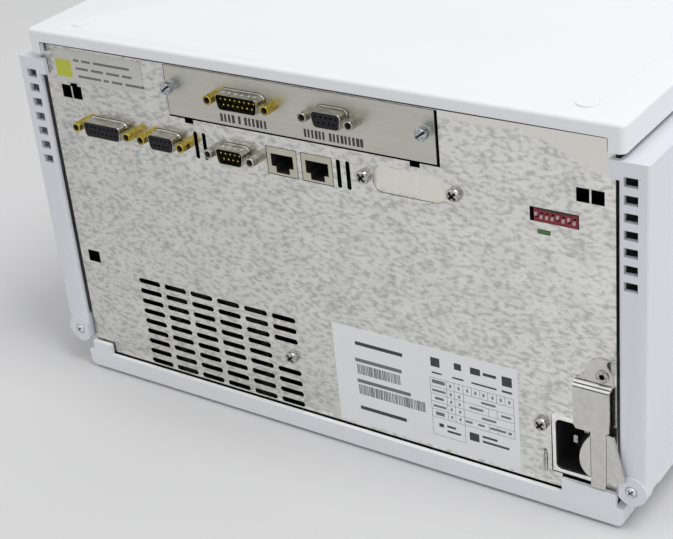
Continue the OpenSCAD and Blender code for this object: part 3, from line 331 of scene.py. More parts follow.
def tone_sheet(material):
    """Adds broad tones to a finish. Its brightness falls off evenly towards +X as painted shade and
    swings by a noise of the cloud size, and above an edge that is the lower of a sloped and a level
    line, bent by a noise, a painted reflection of a pale wall covers it."""
    tree = material.node_tree
    shader = tree.nodes["Principled BSDF"]
    tint = shader.inputs["Base Color"].links[0].from_socket
    place = tree.nodes.new("ShaderNodeTexCoord")
    split = tree.nodes.new("ShaderNodeSeparateXYZ")
    tree.links.new(place.outputs["Object"], split.inputs[0])

    def maths(kind, first, second):
        """One sum of the given kind on two values or sockets."""
        step = tree.nodes.new("ShaderNodeMath")
        step.operation = kind
        for slot_at, value in enumerate((first, second)):
            if isinstance(value, (int, float)):
                step.inputs[slot_at].default_value = value
            else:
                tree.links.new(value, step.inputs[slot_at])
        return step.outputs[0]

    wave = tree.nodes.new("ShaderNodeTexNoise")
    wave.inputs["Scale"].default_value = 1 / wave_size
    wave.inputs["Detail"].default_value = 1
    tree.links.new(place.outputs["Object"], wave.inputs["Vector"])
    sloped = maths("MULTIPLY_ADD", split.outputs["X"], pale_slope)
    sloped.node.inputs[2].default_value = pale_at[1] - pale_at[0] * pale_slope
    edge = maths("MINIMUM", sloped, pale_most)
    bent = maths("ADD", edge, maths("MULTIPLY", maths("SUBTRACT", wave.outputs["Fac"], 0.5), pale_wave))
    above = maths("SUBTRACT", split.outputs["Z"], bent)
    share = tree.nodes.new("ShaderNodeMapRange")
    share.inputs["From Min"].default_value = pale_soft[0]
    share.inputs["From Max"].default_value = pale_soft[1]
    tree.links.new(above, share.inputs["Value"])
    inside = maths("MULTIPLY", share.outputs[0], maths("LESS_THAN", split.outputs["X"], pale_stop))
    fade = maths("MULTIPLY_ADD", split.outputs["X"], -painted_fade_per_metre)
    fade.node.inputs[2].default_value = 1.0
    cloud = tree.nodes.new("ShaderNodeTexNoise")
    cloud.inputs["Scale"].default_value = 1 / cloud_size
    cloud.inputs["Detail"].default_value = 2
    tree.links.new(place.outputs["Object"], cloud.inputs["Vector"])
    swing = tree.nodes.new("ShaderNodeMapRange")
    swing.inputs["From Min"].default_value = noise_span[0]
    swing.inputs["From Max"].default_value = noise_span[1]
    swing.inputs["To Min"].default_value = 1 - cloud_depth
    swing.inputs["To Max"].default_value = 1 + cloud_depth
    tree.links.new(cloud.outputs["Fac"], swing.inputs["Value"])
    faded = tree.nodes.new("ShaderNodeVectorMath")
    faded.operation = "SCALE"
    tree.links.new(tint, faded.inputs[0])
    tree.links.new(maths("MULTIPLY", fade, swing.outputs[0]), faded.inputs["Scale"])
    cover = tree.nodes.new("ShaderNodeMix")
    cover.data_type = "RGBA"
    cover.inputs["B"].default_value = painted_wall_reflection
    tree.links.new(inside, cover.inputs["Factor"])
    tree.links.new(faded.outputs[0], cover.inputs["A"])
    tree.links.new(cover.outputs["Result"], shader.inputs["Base Color"])


tone_sheet(polished)
dress("rear_panel", polished)

# The blank plate is riveted sheet behind the panel; its pale colour is a painted reflection of the
# pale wall, without flecks. A thin line of painted shadow, as cast by the panel's cut edge, lies on its
# left and lower side. Like lines of painted shade run along the left and lower edges of the inlet's
# frame, and round the lanced stop tab.
# Its pale cream colour is a painted reflection of a pale wall
blank_sheet = finish("blank_sheet", (0.80, 0.795, 0.725), 0.3, metal=1.0, mottle=0.03, patch=0.004)
dress("blank_plate", blank_sheet)
# Painted shade: a near black finish for shadow lines and for the insides of recesses, slots, roots and
# sockets
painted_shade = finish("painted_shade", (0.035, 0.035, 0.032), 0.5, metal=0.4, mottle=0.3, patch=0.002)
blank_at = (-57.3, 152.7)
blank_half = (18.5, 6.3)
blank_corner = 4.5
# A painted shade line's thickness, its gap from the sheet, and its width round the blank, frame and tab
line_thick = 0.02
line_gap = 0.01
blank_line, frame_line, tab_line = 0.4, 0.6, 0.45
# The stop tab: its middle, its half width, the height of its round top, and its reach up and down
tab_at = (-120.8, 24)
tab_half = 1.4
tab_arc = 2.4
tab_up, tab_down = 4, 6.2


def skin(name, rings, material, body, loop=False, angle=32):
    """Makes a piece of closed rings: rings is an array (m, n, 3) of m rings of n points each.
    Each ring is joined to the next by quads. With loop the last joins the first, and without it
    the two ends get a flat cap."""
    rings = np.asarray(rings, float)
    m, n = rings.shape[:2]
    rows = np.arange(m if loop else m - 1)[:, None]
    cols = np.arange(n)[None, :]
    nxt_row = (rows + 1) % m
    nxt_col = (cols + 1) % n
    quads = np.stack([rows * n + cols, rows * n + nxt_col, nxt_row * n + nxt_col,
                      nxt_row * n + cols], -1).reshape(-1, 4)
    faces = quads.tolist()
    if not loop:
        faces += [list(range(n))[::-1], list(range((m - 1) * n, m * n))]
    return shape(name, rings.reshape(-1, 3), faces, material, body, angle)


def shape(name, points, faces, material, body, angle=32):
    """Makes a piece from points and faces, closes its seams and turns its faces outwards."""
    mesh = bpy.data.meshes.new(name)
    mesh.from_pydata(np.asarray(points).tolist(), [], faces)
    work = bmesh.new()
    work.from_mesh(mesh)
    bmesh.ops.remove_doubles(work, verts=work.verts, dist=1e-7)
    bmesh.ops.recalc_face_normals(work, faces=work.faces)
    for face in work.faces:
        face.smooth = True
    work.to_mesh(mesh)
    work.free()
    mesh.set_sharp_from_angle(angle=math.radians(angle))
    mesh.materials.append(material)
    piece = bpy.data.objects.new(name, mesh)
    scene.collection.objects.link(piece)
    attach(piece, body)
    return piece


def joined(name, parts):
    """Joins like pieces into one, which keeps the first one's body and slot."""
    bpy.ops.object.select_all(action="DESELECT")
    for part in parts:
        part.select_set(True)
    bpy.context.view_layer.objects.active = parts[0]
    bpy.ops.object.join()
    parts[0].name = name
    return parts[0]


def soft_outline(corners, radius, steps=6):
    """Points round a convex outline whose corners are arcs of one radius. At each corner the
    arc's centre lies on the bisector, radius / sin(half the corner's angle) inside it."""
    corners = np.asarray(corners, float)
    before, after = np.roll(corners, 1, 0) - corners, np.roll(corners, -1, 0) - corners
    before /= np.linalg.norm(before, axis=1)[:, None]
    after /= np.linalg.norm(after, axis=1)[:, None]
    middle = before + after
    middle /= np.linalg.norm(middle, axis=1)[:, None]
    half = np.arccos(np.clip((before * after).sum(1), -1, 1)) / 2
    centres = corners + middle * (radius / np.sin(half))[:, None]
    swing = (np.linspace(-1, 1, steps)[None, :] * (np.pi / 2 - half)[:, None])
    turn_way = np.sign(before[:, 0] * after[:, 1] - before[:, 1] * after[:, 0])
    start = np.arctan2(-middle[:, 1], -middle[:, 0])[:, None]
    angles = start - turn_way[:, None] * swing
    arcs = centres[:, None] + radius * np.stack([np.cos(angles), np.sin(angles)], -1)
    return arcs.reshape(-1, 2)


def painted_shade_line(path, width, way_out=line_gap, points=60):
    """A thin line of painted shade, way_out from the panel, along a path of corners (x, z) in
    millimetres, set out again as even points. Its width lies to the path's left and fades to a fifth
    at both ends, by the square root of a half sine."""
    path = np.asarray(path, float)
    walked = np.concatenate([[0], np.cumsum(np.linalg.norm(np.diff(path, axis=0), axis=1))])
    even = np.linspace(0, walked[-1], points)
    path = np.stack([np.interp(even, walked, path[:, 0]), np.interp(even, walked, path[:, 1])], -1)
    along = np.gradient(path, axis=0)
    along /= np.linalg.norm(along, axis=1)[:, None]
    swell = 0.2 + 0.8 * np.sqrt(np.sin(np.linspace(0, np.pi, points)).clip(0))
    other = path + np.stack([-along[:, 1], along[:, 0]], -1) * (width * swell)[:, None]
    corners = np.stack([path, other, other, path], 1)
    out = np.broadcast_to(np.array([0, 0, line_thick, line_thick]) + way_out, corners.shape[:2])
    rings = np.stack([corners[..., 0], out, corners[..., 1]], -1) * MM + np.array([0, panel_y, 0])
    return skin("painted_shade_line", rings, painted_shade, "case")


half_w, half_h = blank_half
opening = soft_outline([(half_w, half_h), (-half_w, half_h), (-half_w, -half_h), (half_w, -half_h)],
                       blank_corner, steps=9) + np.array(blank_at)
frame_low, frame_high = [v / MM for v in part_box("inlet_frame")]
# Its left and lower side, from the middle of the upper left corner round to that of the lower right
opening_side = np.concatenate([opening[4::-1], opening[:21:-1]])
tab_turn = np.linspace(0.2 * np.pi, np.pi, 16)
tab_top = np.stack([tab_at[0] + tab_half * np.cos(tab_turn),
                    tab_at[1] + tab_up + tab_arc * np.sin(tab_turn)], -1)
joined("painted_edge_shades", [
    painted_shade_line(opening_side, blank_line),
    painted_shade_line([(frame_low.x, frame_low.z), (frame_high.x, frame_low.z), (frame_high.x, frame_high.z)],
              frame_line, frame_high.y - panel_y / MM + line_gap),
    painted_shade_line(np.concatenate([tab_top, [(tab_at[0] - tab_half, tab_at[1] - tab_down)]]), tab_line)])

# The slot plate is satin sheet, a shade darker than the panel, and closes the interface slot. It is
# held by two captive screws, and its edges show against the polished panel.
satin = finish("satin_sheet", (0.555, 0.553, 0.50), 0.42, metal=1.0, mottle=0.04, patch=0.002,
               stretch=(0.1, 1, 1))
dress("slot_plate", satin)

# Pan head screws of nickel-plated steel hold the blank plate, the fan and the supply to the
# panel, and a pale one in each lug holds the side panels. Their heads have a cross recess,
# darkened with painted shade.
nickel = finish("nickel_plate", (0.44, 0.435, 0.41), 0.2, metal=1.0, mottle=0.55, patch=0.0011)
blank_screw = 23.5
pan_places = [(blank_at[0] - blank_screw, blank_at[1], 0), (blank_at[0] + blank_screw, blank_at[1], 0),
              (19.6, 42.3, 0), (-119.9, 44.5, 0)]
lug_plate = finish("lug_screw_plate", (0.70, 0.70, 0.74), 0.35, metal=0.3, mottle=0.1, patch=0.002)
lug_y = 2.4
lug_places = [(165.1, 23.1, lug_y), (-165.1, 23.1, lug_y)]
# Radius and height of a head and width of its recess, on the panel and in the lugs
pan_size = (3.4, 3.2, 1.15)
lug_size = (2.6, 2.4, 0.75)
# Over what width the recess slopes at its sides and at its reach, and where a head's front starts
side_slope, reach_slope = 0.18, 0.3
head_front, head_root = 0.9, 0.3
# The crown's share of the radius
crown_share = 0.62
# The recess as shares of the radius and of the height, and the share above which it carries painted shade
recess_reach, recess_depth, recess_dark = 0.66, 0.55, 0.35


def turned(profile, centre, n=48):
    """Rings of a turned shape about an axis along Y: each profile row is (radius, way out), in
    millimetres, and each ring is a circle of that radius at that distance from the centre."""
    profile = np.asarray(profile, float)
    round_way = np.linspace(0, 2 * np.pi, n, endpoint=False)
    x = centre[0] + profile[:, :1] * np.cos(round_way) * MM
    z = centre[2] + profile[:, :1] * np.sin(round_way) * MM
    y = centre[1] + np.broadcast_to(profile[:, 1:] * MM, x.shape)
    return np.stack([x, y, z], -1)


def in_cross(points, centre, width, reach):
    """How far points lie in a cross recess, 0 to 1: nearer to one of two crossed lines than half
    the width, and inside the reach, with a soft slope."""
    x = (points[..., 0] - centre[0]) / MM
    z = (points[..., 2] - centre[2]) / MM
    u, v = (x + z) / math.sqrt(2), (x - z) / math.sqrt(2)
    near = np.minimum(np.abs(u), np.abs(v))
    sides = np.clip((width / 2 - near) / side_slope, 0, 1)
    return sides * np.clip((reach - np.hypot(x, z)) / reach_slope, 0, 1)


def cross_recess(rings, centre, width, reach, depth):
    """Presses a cross recess into a turned head: its points move in by the depth."""
    inside = in_cross(rings, centre, width, reach)
    out = rings.copy()
    front = rings[..., 1] > centre[1] + head_front * MM
    out[..., 1] -= depth * MM * inside * front
    return out


def pan_head(centre, radius, height, recess_w, metal):
    """A pan head: a straight rim, a quarter-round shoulder and a nearly flat crown, with a cross
    recess pressed into it. The recess carries painted shade."""
    swing = np.linspace(0, np.pi / 2, 8)
    rim = [(radius * 0.9, -0.05), (radius, 0.05), (radius, height * 0.2)]
    shoulder = [(radius * (crown_share + (1 - crown_share) * math.cos(a)),
                 height * (0.35 + 0.55 * math.sin(a))) for a in swing]
    crown = [(radius * crown_share * k, height * (0.9 + 0.1 * (1 - k * k)))
             for k in np.linspace(0.95, 0.02, 22)]
    rings = turned(rim + shoulder + crown, centre)
    reach = radius * recess_reach
    rings = cross_recess(rings, centre, recess_w, reach, height * recess_depth)
    head = skin("pan_head", rings, metal, "case")
    # Painted shade in the recess
    part_finish(head, painted_shade, lambda middles: (in_cross(middles, centre, recess_w, reach) > recess_dark)
                & (middles[:, 1] > centre[1] + head_root * MM))
    return head


heads = []
for x, z, out in pan_places:
    heads.append(pan_head((x * MM, panel_y + out * MM, z * MM), *pan_size, nickel))
for x, z, out in lug_places:
    heads.append(pan_head((x * MM, panel_y + out * MM, z * MM), *lug_size, lug_plate))
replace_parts(joined("screw_heads", heads), "pan_head_screws")

# Two captive screws of zinc-plated steel hold the slot plate. Each is turned, with a collar on the
# plate and a longer head, and a screwdriver slot is sawn across it at a slant. Painted shade darkens
# the slot.
zinc = finish("zinc_plate", (0.43, 0.455, 0.48), 0.25, metal=1.0, mottle=0.45, patch=0.0013)
slot_middle, captive_half, captive_z = 2.3, 70.8, 180.8
# Radius and way out of the collar, the neck and the head, and of the flat face inside the last
captive_side = [(2.4, 0), (2.4, 0.6), (2.1, 0.8), (2.1, 2.3),
                (2.9, 2.5), (3.1, 2.8), (3.1, 5.6), (2.8, 6.0)]
face_r, face_out, face_front = 2.8, 6.15, 5.9
captive_face = [(face_r * k, face_out) for k in np.linspace(0.95, 0.02, 20)]
# The slot: which way it is measured across, its half width, the slope of its sides and its depth
slot_way = (0.6, 0.8)
slot_half, slot_slope, slot_depth = 0.45, 0.15, 1.1
# The faces of the slot that carry painted shade: their half width, how far out they start, and their reach
dark_half, dark_from, dark_reach = 0.42, 4.5, 2.85


def over_slot(points, centre):
    """How far points lie to the side of a captive screw's slot, in millimetres: the sum of their
    way from the centre in X and in Z, each times its share in slot_way."""
    return ((points[..., 0] - centre[0]) * slot_way[0] + (points[..., 2] - centre[2]) * slot_way[1]) / MM


captives = []
for x in (slot_middle - captive_half, slot_middle + captive_half):
    centre = (x * MM, panel_y, captive_z * MM)
    rings = turned(captive_side + captive_face, centre)
    sawn = np.clip((slot_half - np.abs(over_slot(rings, centre))) / slot_slope, 0, 1)
    rings[..., 1] -= sawn * slot_depth * MM * (rings[..., 1] > panel_y + face_front * MM)
    head = skin("captive", rings, zinc, "case")
    # Painted shade in the slot
    part_finish(head, painted_shade, lambda middles: (np.abs(over_slot(middles, centre)) < dark_half)
                & (middles[:, 1] > panel_y + dark_from * MM)
                & (np.hypot(middles[:, 0] - centre[0], middles[:, 2] - centre[2]) < dark_reach * MM))
    captives.append(head)
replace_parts(joined("captive_heads", captives), "captive_screws")

# Five D ports stand in the panel and the slot plate. Each has a drawn steel shell with a flared
# root, a black insert, and gold contacts. The shells with pins have pressed dimples. Painted shade
# darkens each shell's root, and painted highlights lie on the dimples.
row_z = 151.1
slot_port_z = 179.5
# Contacts, centre across, centre up, and whether it has pins, in millimetres
ports = [(15, 119.1, row_z, False), (9, 80.8, row_z, False), (9, 38.6, row_z, True),
         (15, 30.3, slot_port_z, True), (9, -19.7, slot_port_z, False)]
shell_half = {15: 12.5, 9: 8.4}
screw_half = {15: 16.65, 9: 12.5}
shell_out = 6.2
shell_height = 8.3
shell_slope = 1.3
corner = 2.3


def d_outline(contacts, inset, along=40):
    """The outline of a D port, wider at its top, drawn in by inset, with the same number of
    points at any inset: the arcs of soft_outline, and points along the long sides."""
    a, h = shell_half[contacts] - inset, shell_height / 2 - inset
    corners = [(a, h), (-a, h), (-a + shell_slope, -h), (a - shell_slope, -h)]
    loop = soft_outline(corners, corner - inset)
    step = len(loop) // 4
    share = np.linspace(0, 1, along + 2)[1:-1, None]
    top = loop[step - 1] * (1 - share) + loop[step] * share
    low = loop[3 * step - 1] * (1 - share) + loop[3 * step] * share
    return np.concatenate([loop[:step], top, loop[step:3 * step], low, loop[3 * step:]])


flare = 0.9
# The rows of the profile are (way out, inset): the drawn wall, the lip and the bore behind it
shell_wall = [(y, 0.0) for y in np.linspace(1.2, shell_out - 0.2, 14)]
shell_lip = [(shell_out - 0.04, 0.08), (shell_out, 0.25), (shell_out - 0.04, 0.42)]
shell_bore = [(shell_out - 0.3, 0.5), (-3, 0.5), (-3, 0.1), (-0.4, -0.5), (-0.4, -flare)]
shell_flare = [(k, -flare * (1 - math.sin(math.pi / 2 * k))) for k in np.linspace(0, 1, 5)]
shell_profile = shell_flare + shell_wall + shell_lip + shell_bore
shell_steel = finish("drawn_steel", (0.42, 0.415, 0.36), 0.2, metal=1.0, mottle=0.35, patch=0.003,
                     stretch=(0.5, 1, 1))
# Painted highlight for the dimples
dimple_painted_highlight = finish("dimple_painted_highlight", (0.92, 0.92, 0.90), 0.3, metal=0.4, mottle=0.04, patch=0.002)
# How far out from the panel painted shade darkens a shell's root
root_shade = 0.3
# Dimples: how many by contacts, their pitch, way out, radius and depth. They are pressed into the
# long sides alone, which lie farther than long_side above and below the port's middle.
dimples = {15: 6, 9: 4}
dimple_pitch = 3.7
dimple_out = 3.0
dimple_r = 0.75
dimple_deep = 0.45
long_side = 3
shells = []
for contacts, x, z, has_pins in ports:
    rings = []
    for way_out, inset in shell_profile:
        loop = d_outline(contacts, inset)
        rings.append(np.stack([x + loop[:, 0], np.full(len(loop), way_out), z + loop[:, 1]], -1))
    rings = np.array(rings)
    if has_pins:
        count = dimples[contacts]
        dimple_x = x + (np.arange(count) - (count - 1) / 2) * dimple_pitch
        away = np.hypot(rings[..., 0, None] - dimple_x, rings[..., 1, None] - dimple_out).min(-1)
        press = dimple_deep * np.exp(-(away / dimple_r) ** 2)
        rings[..., 2] -= np.sign(rings[..., 2] - z) * press * (np.abs(rings[..., 2] - z) > long_side)
    rings = rings * MM + np.array([0, panel_y, 0])
    shell = skin("port_shell", rings, shell_steel, "case", loop=True)
    part_finish(shell, painted_shade, lambda middles: middles[:, 1] < panel_y + root_shade * MM)
    if has_pins:
        part_finish(shell, dimple_painted_highlight, lambda middles: (
            np.hypot(middles[:, :1] / MM - dimple_x,
                     middles[:, 1:2] / MM - panel_y / MM - dimple_out).min(-1) < dimple_r)
            & (np.abs(middles[:, 2] / MM - z) > long_side))
    shells.append(shell)
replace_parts(joined("port_shells", shells), "connector_shells")
insert_plastic = finish("insert_moulding", (0.010, 0.010, 0.013), 0.6, mottle=0.3, patch=0.001)
insert_plastic.node_tree.nodes["Principled BSDF"].inputs["Specular IOR Level"].default_value = 0.25
dress("connector_inserts", insert_plastic)

# The contacts of the two ports with pins are turned brass, plated with gold, and have round tips.
# They are pressed into the insert in two rows, the upper one longer by a pin.
gold = finish("gold_plate", (0.50, 0.38, 0.075), 0.24, metal=1.0, mottle=0.35, patch=0.0012)
pin_pitch = 2.75
pin_row = 1.42
pin_r = 0.5
pin_back, pin_shoulder = -4, 4.9
pin_side = [(pin_r, pin_back), (pin_r, pin_shoulder)]
pin_tip = [(pin_r * math.cos(a), pin_shoulder + pin_r * math.sin(a)) for a in np.linspace(0, 1.5, 5)]
pins = []
for contacts, x, z, has_pins in ports:
    if not has_pins:
        continue
    upper = (contacts + 1) // 2
    spots = [((i - (upper - 1) / 2) * pin_pitch, pin_row) for i in range(upper)]
    spots += [((i - (upper - 2) / 2) * pin_pitch, -pin_row) for i in range(upper - 1)]
    for dx, dz in spots:
        centre = ((x + dx) * MM, panel_y, (z + dz) * MM)
        pins.append(skin("pin", turned(pin_side + pin_tip, centre, n=12), gold, "case"))
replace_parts(joined("port_pins", pins), "connector_pins")

# Jackscrews are hexagonal, with a turned chamfer at the tip and a threaded socket. Six are
# yellow-plated and four are nickel-plated steel. Painted shade darkens their sockets.
jackscrew_out = 7.0
across_flats = 4.8
socket_r = 1.6
socket_end = 2.2
thread_r, thread_deep, thread_pitch = 1.42, 0.13, 0.9
# Way out and radius of the cone that cuts the hexagon: wide along the post, then the chamfer
post_cone = [(-0.1, 9), (0.4, 9), (3, 9), (5.6, 9), (6.3, 2.78), (6.8, 2.5), (7.0, 2.3)]


def jackscrew(centre):
    """A hexagonal post along Y. Each ring's radius is the smaller of the hexagon's and the
    chamfer cone's. The socket's wall is a helix: its radius swings with height and angle."""
    n = 48
    round_way = np.linspace(0, 2 * np.pi, n, endpoint=False)
    hexagon = across_flats / 2 / np.cos((round_way + np.pi / 6) % (np.pi / 3) - np.pi / 6)
    rows = []
    for way_out, cone in post_cone:
        rows.append((np.minimum(hexagon, cone), np.full(n, way_out)))
    rows.append((np.full(n, 1.75), np.full(n, jackscrew_out)))
    for way_out in np.linspace(jackscrew_out - 0.25, 2.4, 24):
        thread = thread_r + thread_deep * np.cos(2 * np.pi * way_out / thread_pitch - round_way)
        rows.append((thread, np.full(n, way_out)))
    rows.append((np.full(n, 0.05), np.full(n, socket_end)))
    radius = np.array([r for r, _ in rows])
    out = np.array([o for _, o in rows])
    return np.stack([centre[0] + radius * np.cos(round_way) * MM, centre[1] + out * MM,
                     centre[2] + radius * np.sin(round_way) * MM], -1)


for name, node, chosen, metal, slot_name in (
        ("gold_posts", "gold_jackscrews", (0, 1, 3), gold, "gold_plate"),
        ("steel_posts", "steel_jackscrews", (2, 4), shell_steel, "bright_plate")):
    posts = []
    for i in chosen:
        contacts, x, z, _ = ports[i]
        for side in (-1, 1):
            centre = ((x + side * screw_half[contacts]) * MM, panel_y, z * MM)
            post = skin("post", jackscrew(centre), metal, "case", angle=25)
            # Painted shade in the socket
            part_finish(post, painted_shade, lambda middles: (
                np.hypot(middles[:, 0] - centre[0], middles[:, 2] - centre[2]) < socket_r * MM)
                & (middles[:, 1] < panel_y + (jackscrew_out - 0.05) * MM))
            posts.append(post)
    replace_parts(joined(name, posts), node)

# Two network jacks are cream mouldings on the main board. Their stepped mouths stand in the panel,
# with eight gold-plated contacts each. Painted shade darkens their throats behind the mouths' rims.
cream_plastic = finish("cream_moulding", (0.55, 0.53, 0.435), 0.4, mottle=0.03, patch=0.004)
mouth_rim = 0.3
# Painted shade for the throats inside the cream moulding
throat_painted_shade = finish("throat_painted_shade", (0.006, 0.006, 0.006), 0.8, mottle=0.1, patch=0.002)
mouths = soften("jack_housings", "jack_mouths", cream_plastic, "case", 0.15 * MM)
part_finish(mouths, throat_painted_shade, lambda middles: panel_y - middles[:, 1] > mouth_rim * MM)
dress("jack_contacts", gold)

# The configuration switch is a red block with eight white levers, and a green light window lies
# below it. A line of painted shade runs along the top of the block.
red_plastic = finish("red_moulding", (0.22, 0.009, 0.018), 0.35, mottle=0.05, patch=0.003)
lever_plastic = finish("lever_moulding", (0.52, 0.37, 0.37), 0.4, mottle=0.03, patch=0.002)
green_lens = finish("green_lens", (0.04, 0.14, 0.025), 0.25, mottle=0.1, patch=0.002, coat=0.4)
dress("switch_block", red_plastic)
block_low, block_high = [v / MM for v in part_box("switch_block")]
# Width of the painted shade line along the block's top
block_line = 1.0
painted_shade_line([(block_high.x, block_high.z), (block_low.x, block_high.z)], block_line,
          block_high.y - panel_y / MM + line_gap).name = "block_shade"
for i in range(1, 9):
    dress(f"switch_lever_{i}", lever_plastic)
dress("lamp_window", green_lens)

# The mains inlet is a black moulding with three prongs. A nickel-plated steel frame is clipped
# round its mouth.
soften("inlet_body", "inlet_moulding", black_plastic, "case", 0.3 * MM)
frame_plate = finish("frame_plate", (0.93, 0.93, 0.92), 0.3, metal=1.0, mottle=0.08, patch=0.003)
soften("inlet_frame", "inlet_rim", frame_plate, "case", 0.25 * MM)
dress("inlet_prongs", nickel)

# The security lever is cut and folded from the same polished sheet, and turns on a hollow rivet.
# Painted highlights and painted shade lie in streaks along its bends and folds, and a painted dark
# reflection covers its upright flange.
lever_polish = finish("lever_polish", (0.61, 0.605, 0.58), 0.2, metal=1.0, mottle=0.07, patch=0.003,
                      grain=0.00001, grit=0.005, span=(0.25, 0.6))
# Painted highlight and painted shade with dark reflection, for the streaks and the flange
painted_bend_highlight = finish("painted_bend_highlight", (0.95, 0.95, 0.95), 0.3, metal=0.3, mottle=0.04, patch=0.002)
painted_shade_and_dark_reflection = finish("painted_shade_and_dark_reflection", (0.07, 0.07, 0.065), 0.4, metal=0.6, mottle=0.3, patch=0.002)
soften("security_lever", "lever_sheet", lever_polish, "security_lever", 0.12 * MM)
soften("lever_rivet", "hollow_rivet", nickel, "case", 0.2 * MM)
lever_low_x, lever_high_x = -154.8, -137.3
plate_out = 4.0
streak = 0.03


def streaks(name, sections, material):
    """Makes one piece of thin flat streaks of painted highlight or shade on the lever: each row of
    sections is (one side in X, the other side in X, way out and height of the streak's start, way out
    and height of its stop). A section across X is the line from start to stop, thickened along its normal."""
    sections = np.asarray(sections, float)
    start, stop = sections[:, 2:4], sections[:, 4:6]
    along = (stop - start) / np.linalg.norm(stop - start, axis=1)[:, None]
    normal = np.stack([-along[:, 1], along[:, 0]], -1) * streak
    ring = np.stack([start, stop, stop + normal, start + normal], 1)
    pair = np.stack([ring, ring], 1)
    across = np.broadcast_to(sections[:, :2, None], pair.shape[:3])
    points = np.concatenate([across[..., None], pair], -1).reshape(-1, 3) * MM
    points += np.array([0, panel_y, 0])
    sides = np.array([(0, 1, 5, 4), (1, 2, 6, 5), (2, 3, 7, 6), (3, 0, 4, 7), (0, 3, 2, 1), (4, 5, 6, 7)])
    faces = (sides[None] + 8 * np.arange(len(sections))[:, None, None]).reshape(-1, 4)
    return shape(name, points, faces.tolist(), material, "security_lever")


streaks("painted_highlight_streaks", [(lever_low_x, lever_high_x, 1.55, 73.72, 2.3, 73.32),
                           (lever_low_x, lever_high_x, 3.0, 72.95, 3.85, 72.5)], painted_bend_highlight)
streaks("painted_dark_streaks", [(lever_low_x, lever_high_x, 1.0, 74.6, 1.0, 74.05),
                         (lever_low_x, lever_high_x, 2.4, 73.27, 2.9, 73.0),
                         (lever_low_x, lever_high_x, plate_out, 72.2, plate_out, 71.7),
                         (-146.0, -145.7, plate_out, 47.9, plate_out, 25.3),
                         (-153.55, -153.3, plate_out, 50.6, plate_out, 24.2)], painted_shade_and_dark_reflection)
# The painted dark reflection on the upright flange
flange_side = np.array([(0.3, 79), (1, 79), (6.5, 88.4), (6.5, 89.7), (0.3, 87.6)])
flange_rings = np.array([[(x, panel_y / MM + out, z) for out, z in flange_side] for x in (-154.29, -154.25)])
skin("flange_painted_reflection", flange_rings * MM, painted_shade_and_dark_reflection, "security_lever")

# The rating label and the notice sticker are thin films, glued on the panel. Plain bars, fields and
# lines of ink are printed on them, and plain bars on the slot plate. Rows are in millimetres.
label_film = finish("label_film", (0.84, 0.845, 0.87), 0.4, mottle=0.012, patch=0.02)
clear_film = finish("clear_film", (0.60, 0.60, 0.55), 0.35, mottle=0.03, patch=0.01)
dark_ink = finish("dark_ink", (0.035, 0.035, 0.04), 0.5, mottle=0.1, patch=0.002)
grey_ink = finish("grey_ink", (0.16, 0.16, 0.17), 0.5, mottle=0.1, patch=0.002)
yellow_ink = finish("yellow_ink", (0.52, 0.56, 0.05), 0.5, mottle=0.04, patch=0.003)
soften("rating_label", "label_sheet", label_film, "case", 0)
soften("notice_sticker", "sticker_sheet", clear_film, "case", 0)
film = 0.15
ink = 0.02
rule = 0.2


def fields(name, areas, way_out, material):
    """Makes one piece of flat boxes of ink: areas is an array of rows (one side in X, the other
    side in X, low Z, high Z) in millimetres. Each box's eight corners are all the pairings of
    its two sides, its two heights and its two distances from the panel."""
    areas = np.asarray(areas, float)
    pick = np.array([(x, y, z) for x in (0, 1) for y in (0, 1) for z in (0, 1)])
    across = areas[:, [0, 1]][:, pick[:, 0]]
    up = areas[:, [2, 3]][:, pick[:, 2]]
    out = np.broadcast_to(way_out + ink * pick[:, 1], across.shape)
    points = np.stack([across, out, up], -1).reshape(-1, 3) * MM + np.array([0, panel_y, 0])
    sides = np.array([(0, 1, 3, 2), (4, 6, 7, 5), (0, 4, 5, 1), (2, 3, 7, 6), (0, 2, 6, 4), (1, 5, 7, 3)])
    faces = (sides[None] + 8 * np.arange(len(areas))[:, None, None]).reshape(-1, 4)
    return shape(name, points, faces.tolist(), material, "case")


def code_bars(start, stop, low, high, count):
    """Upright bars of uneven width side by side: bar k has a width of 0.45 to 0.85 of its pitch,
    by the sine of its number."""
    k = np.arange(count)
    pitch = (stop - start) / count
    width = pitch * (0.65 + 0.2 * np.sin(2.4 * k * k + 1.3 * k))
    left = start + k * pitch
    return np.stack([left, left + width, np.full(count, low), np.full(count, high)], -1)


def lines(starts, stops, thick):
    """Thin straight fields from start to stop, level or upright, of the given thickness."""
    starts, stops = np.asarray(starts, float), np.asarray(stops, float)
    low, high = np.minimum(starts, stops) - thick / 2, np.maximum(starts, stops) + thick / 2
    return np.stack([low[:, 0], high[:, 0], low[:, 1], high[:, 1]], -1)


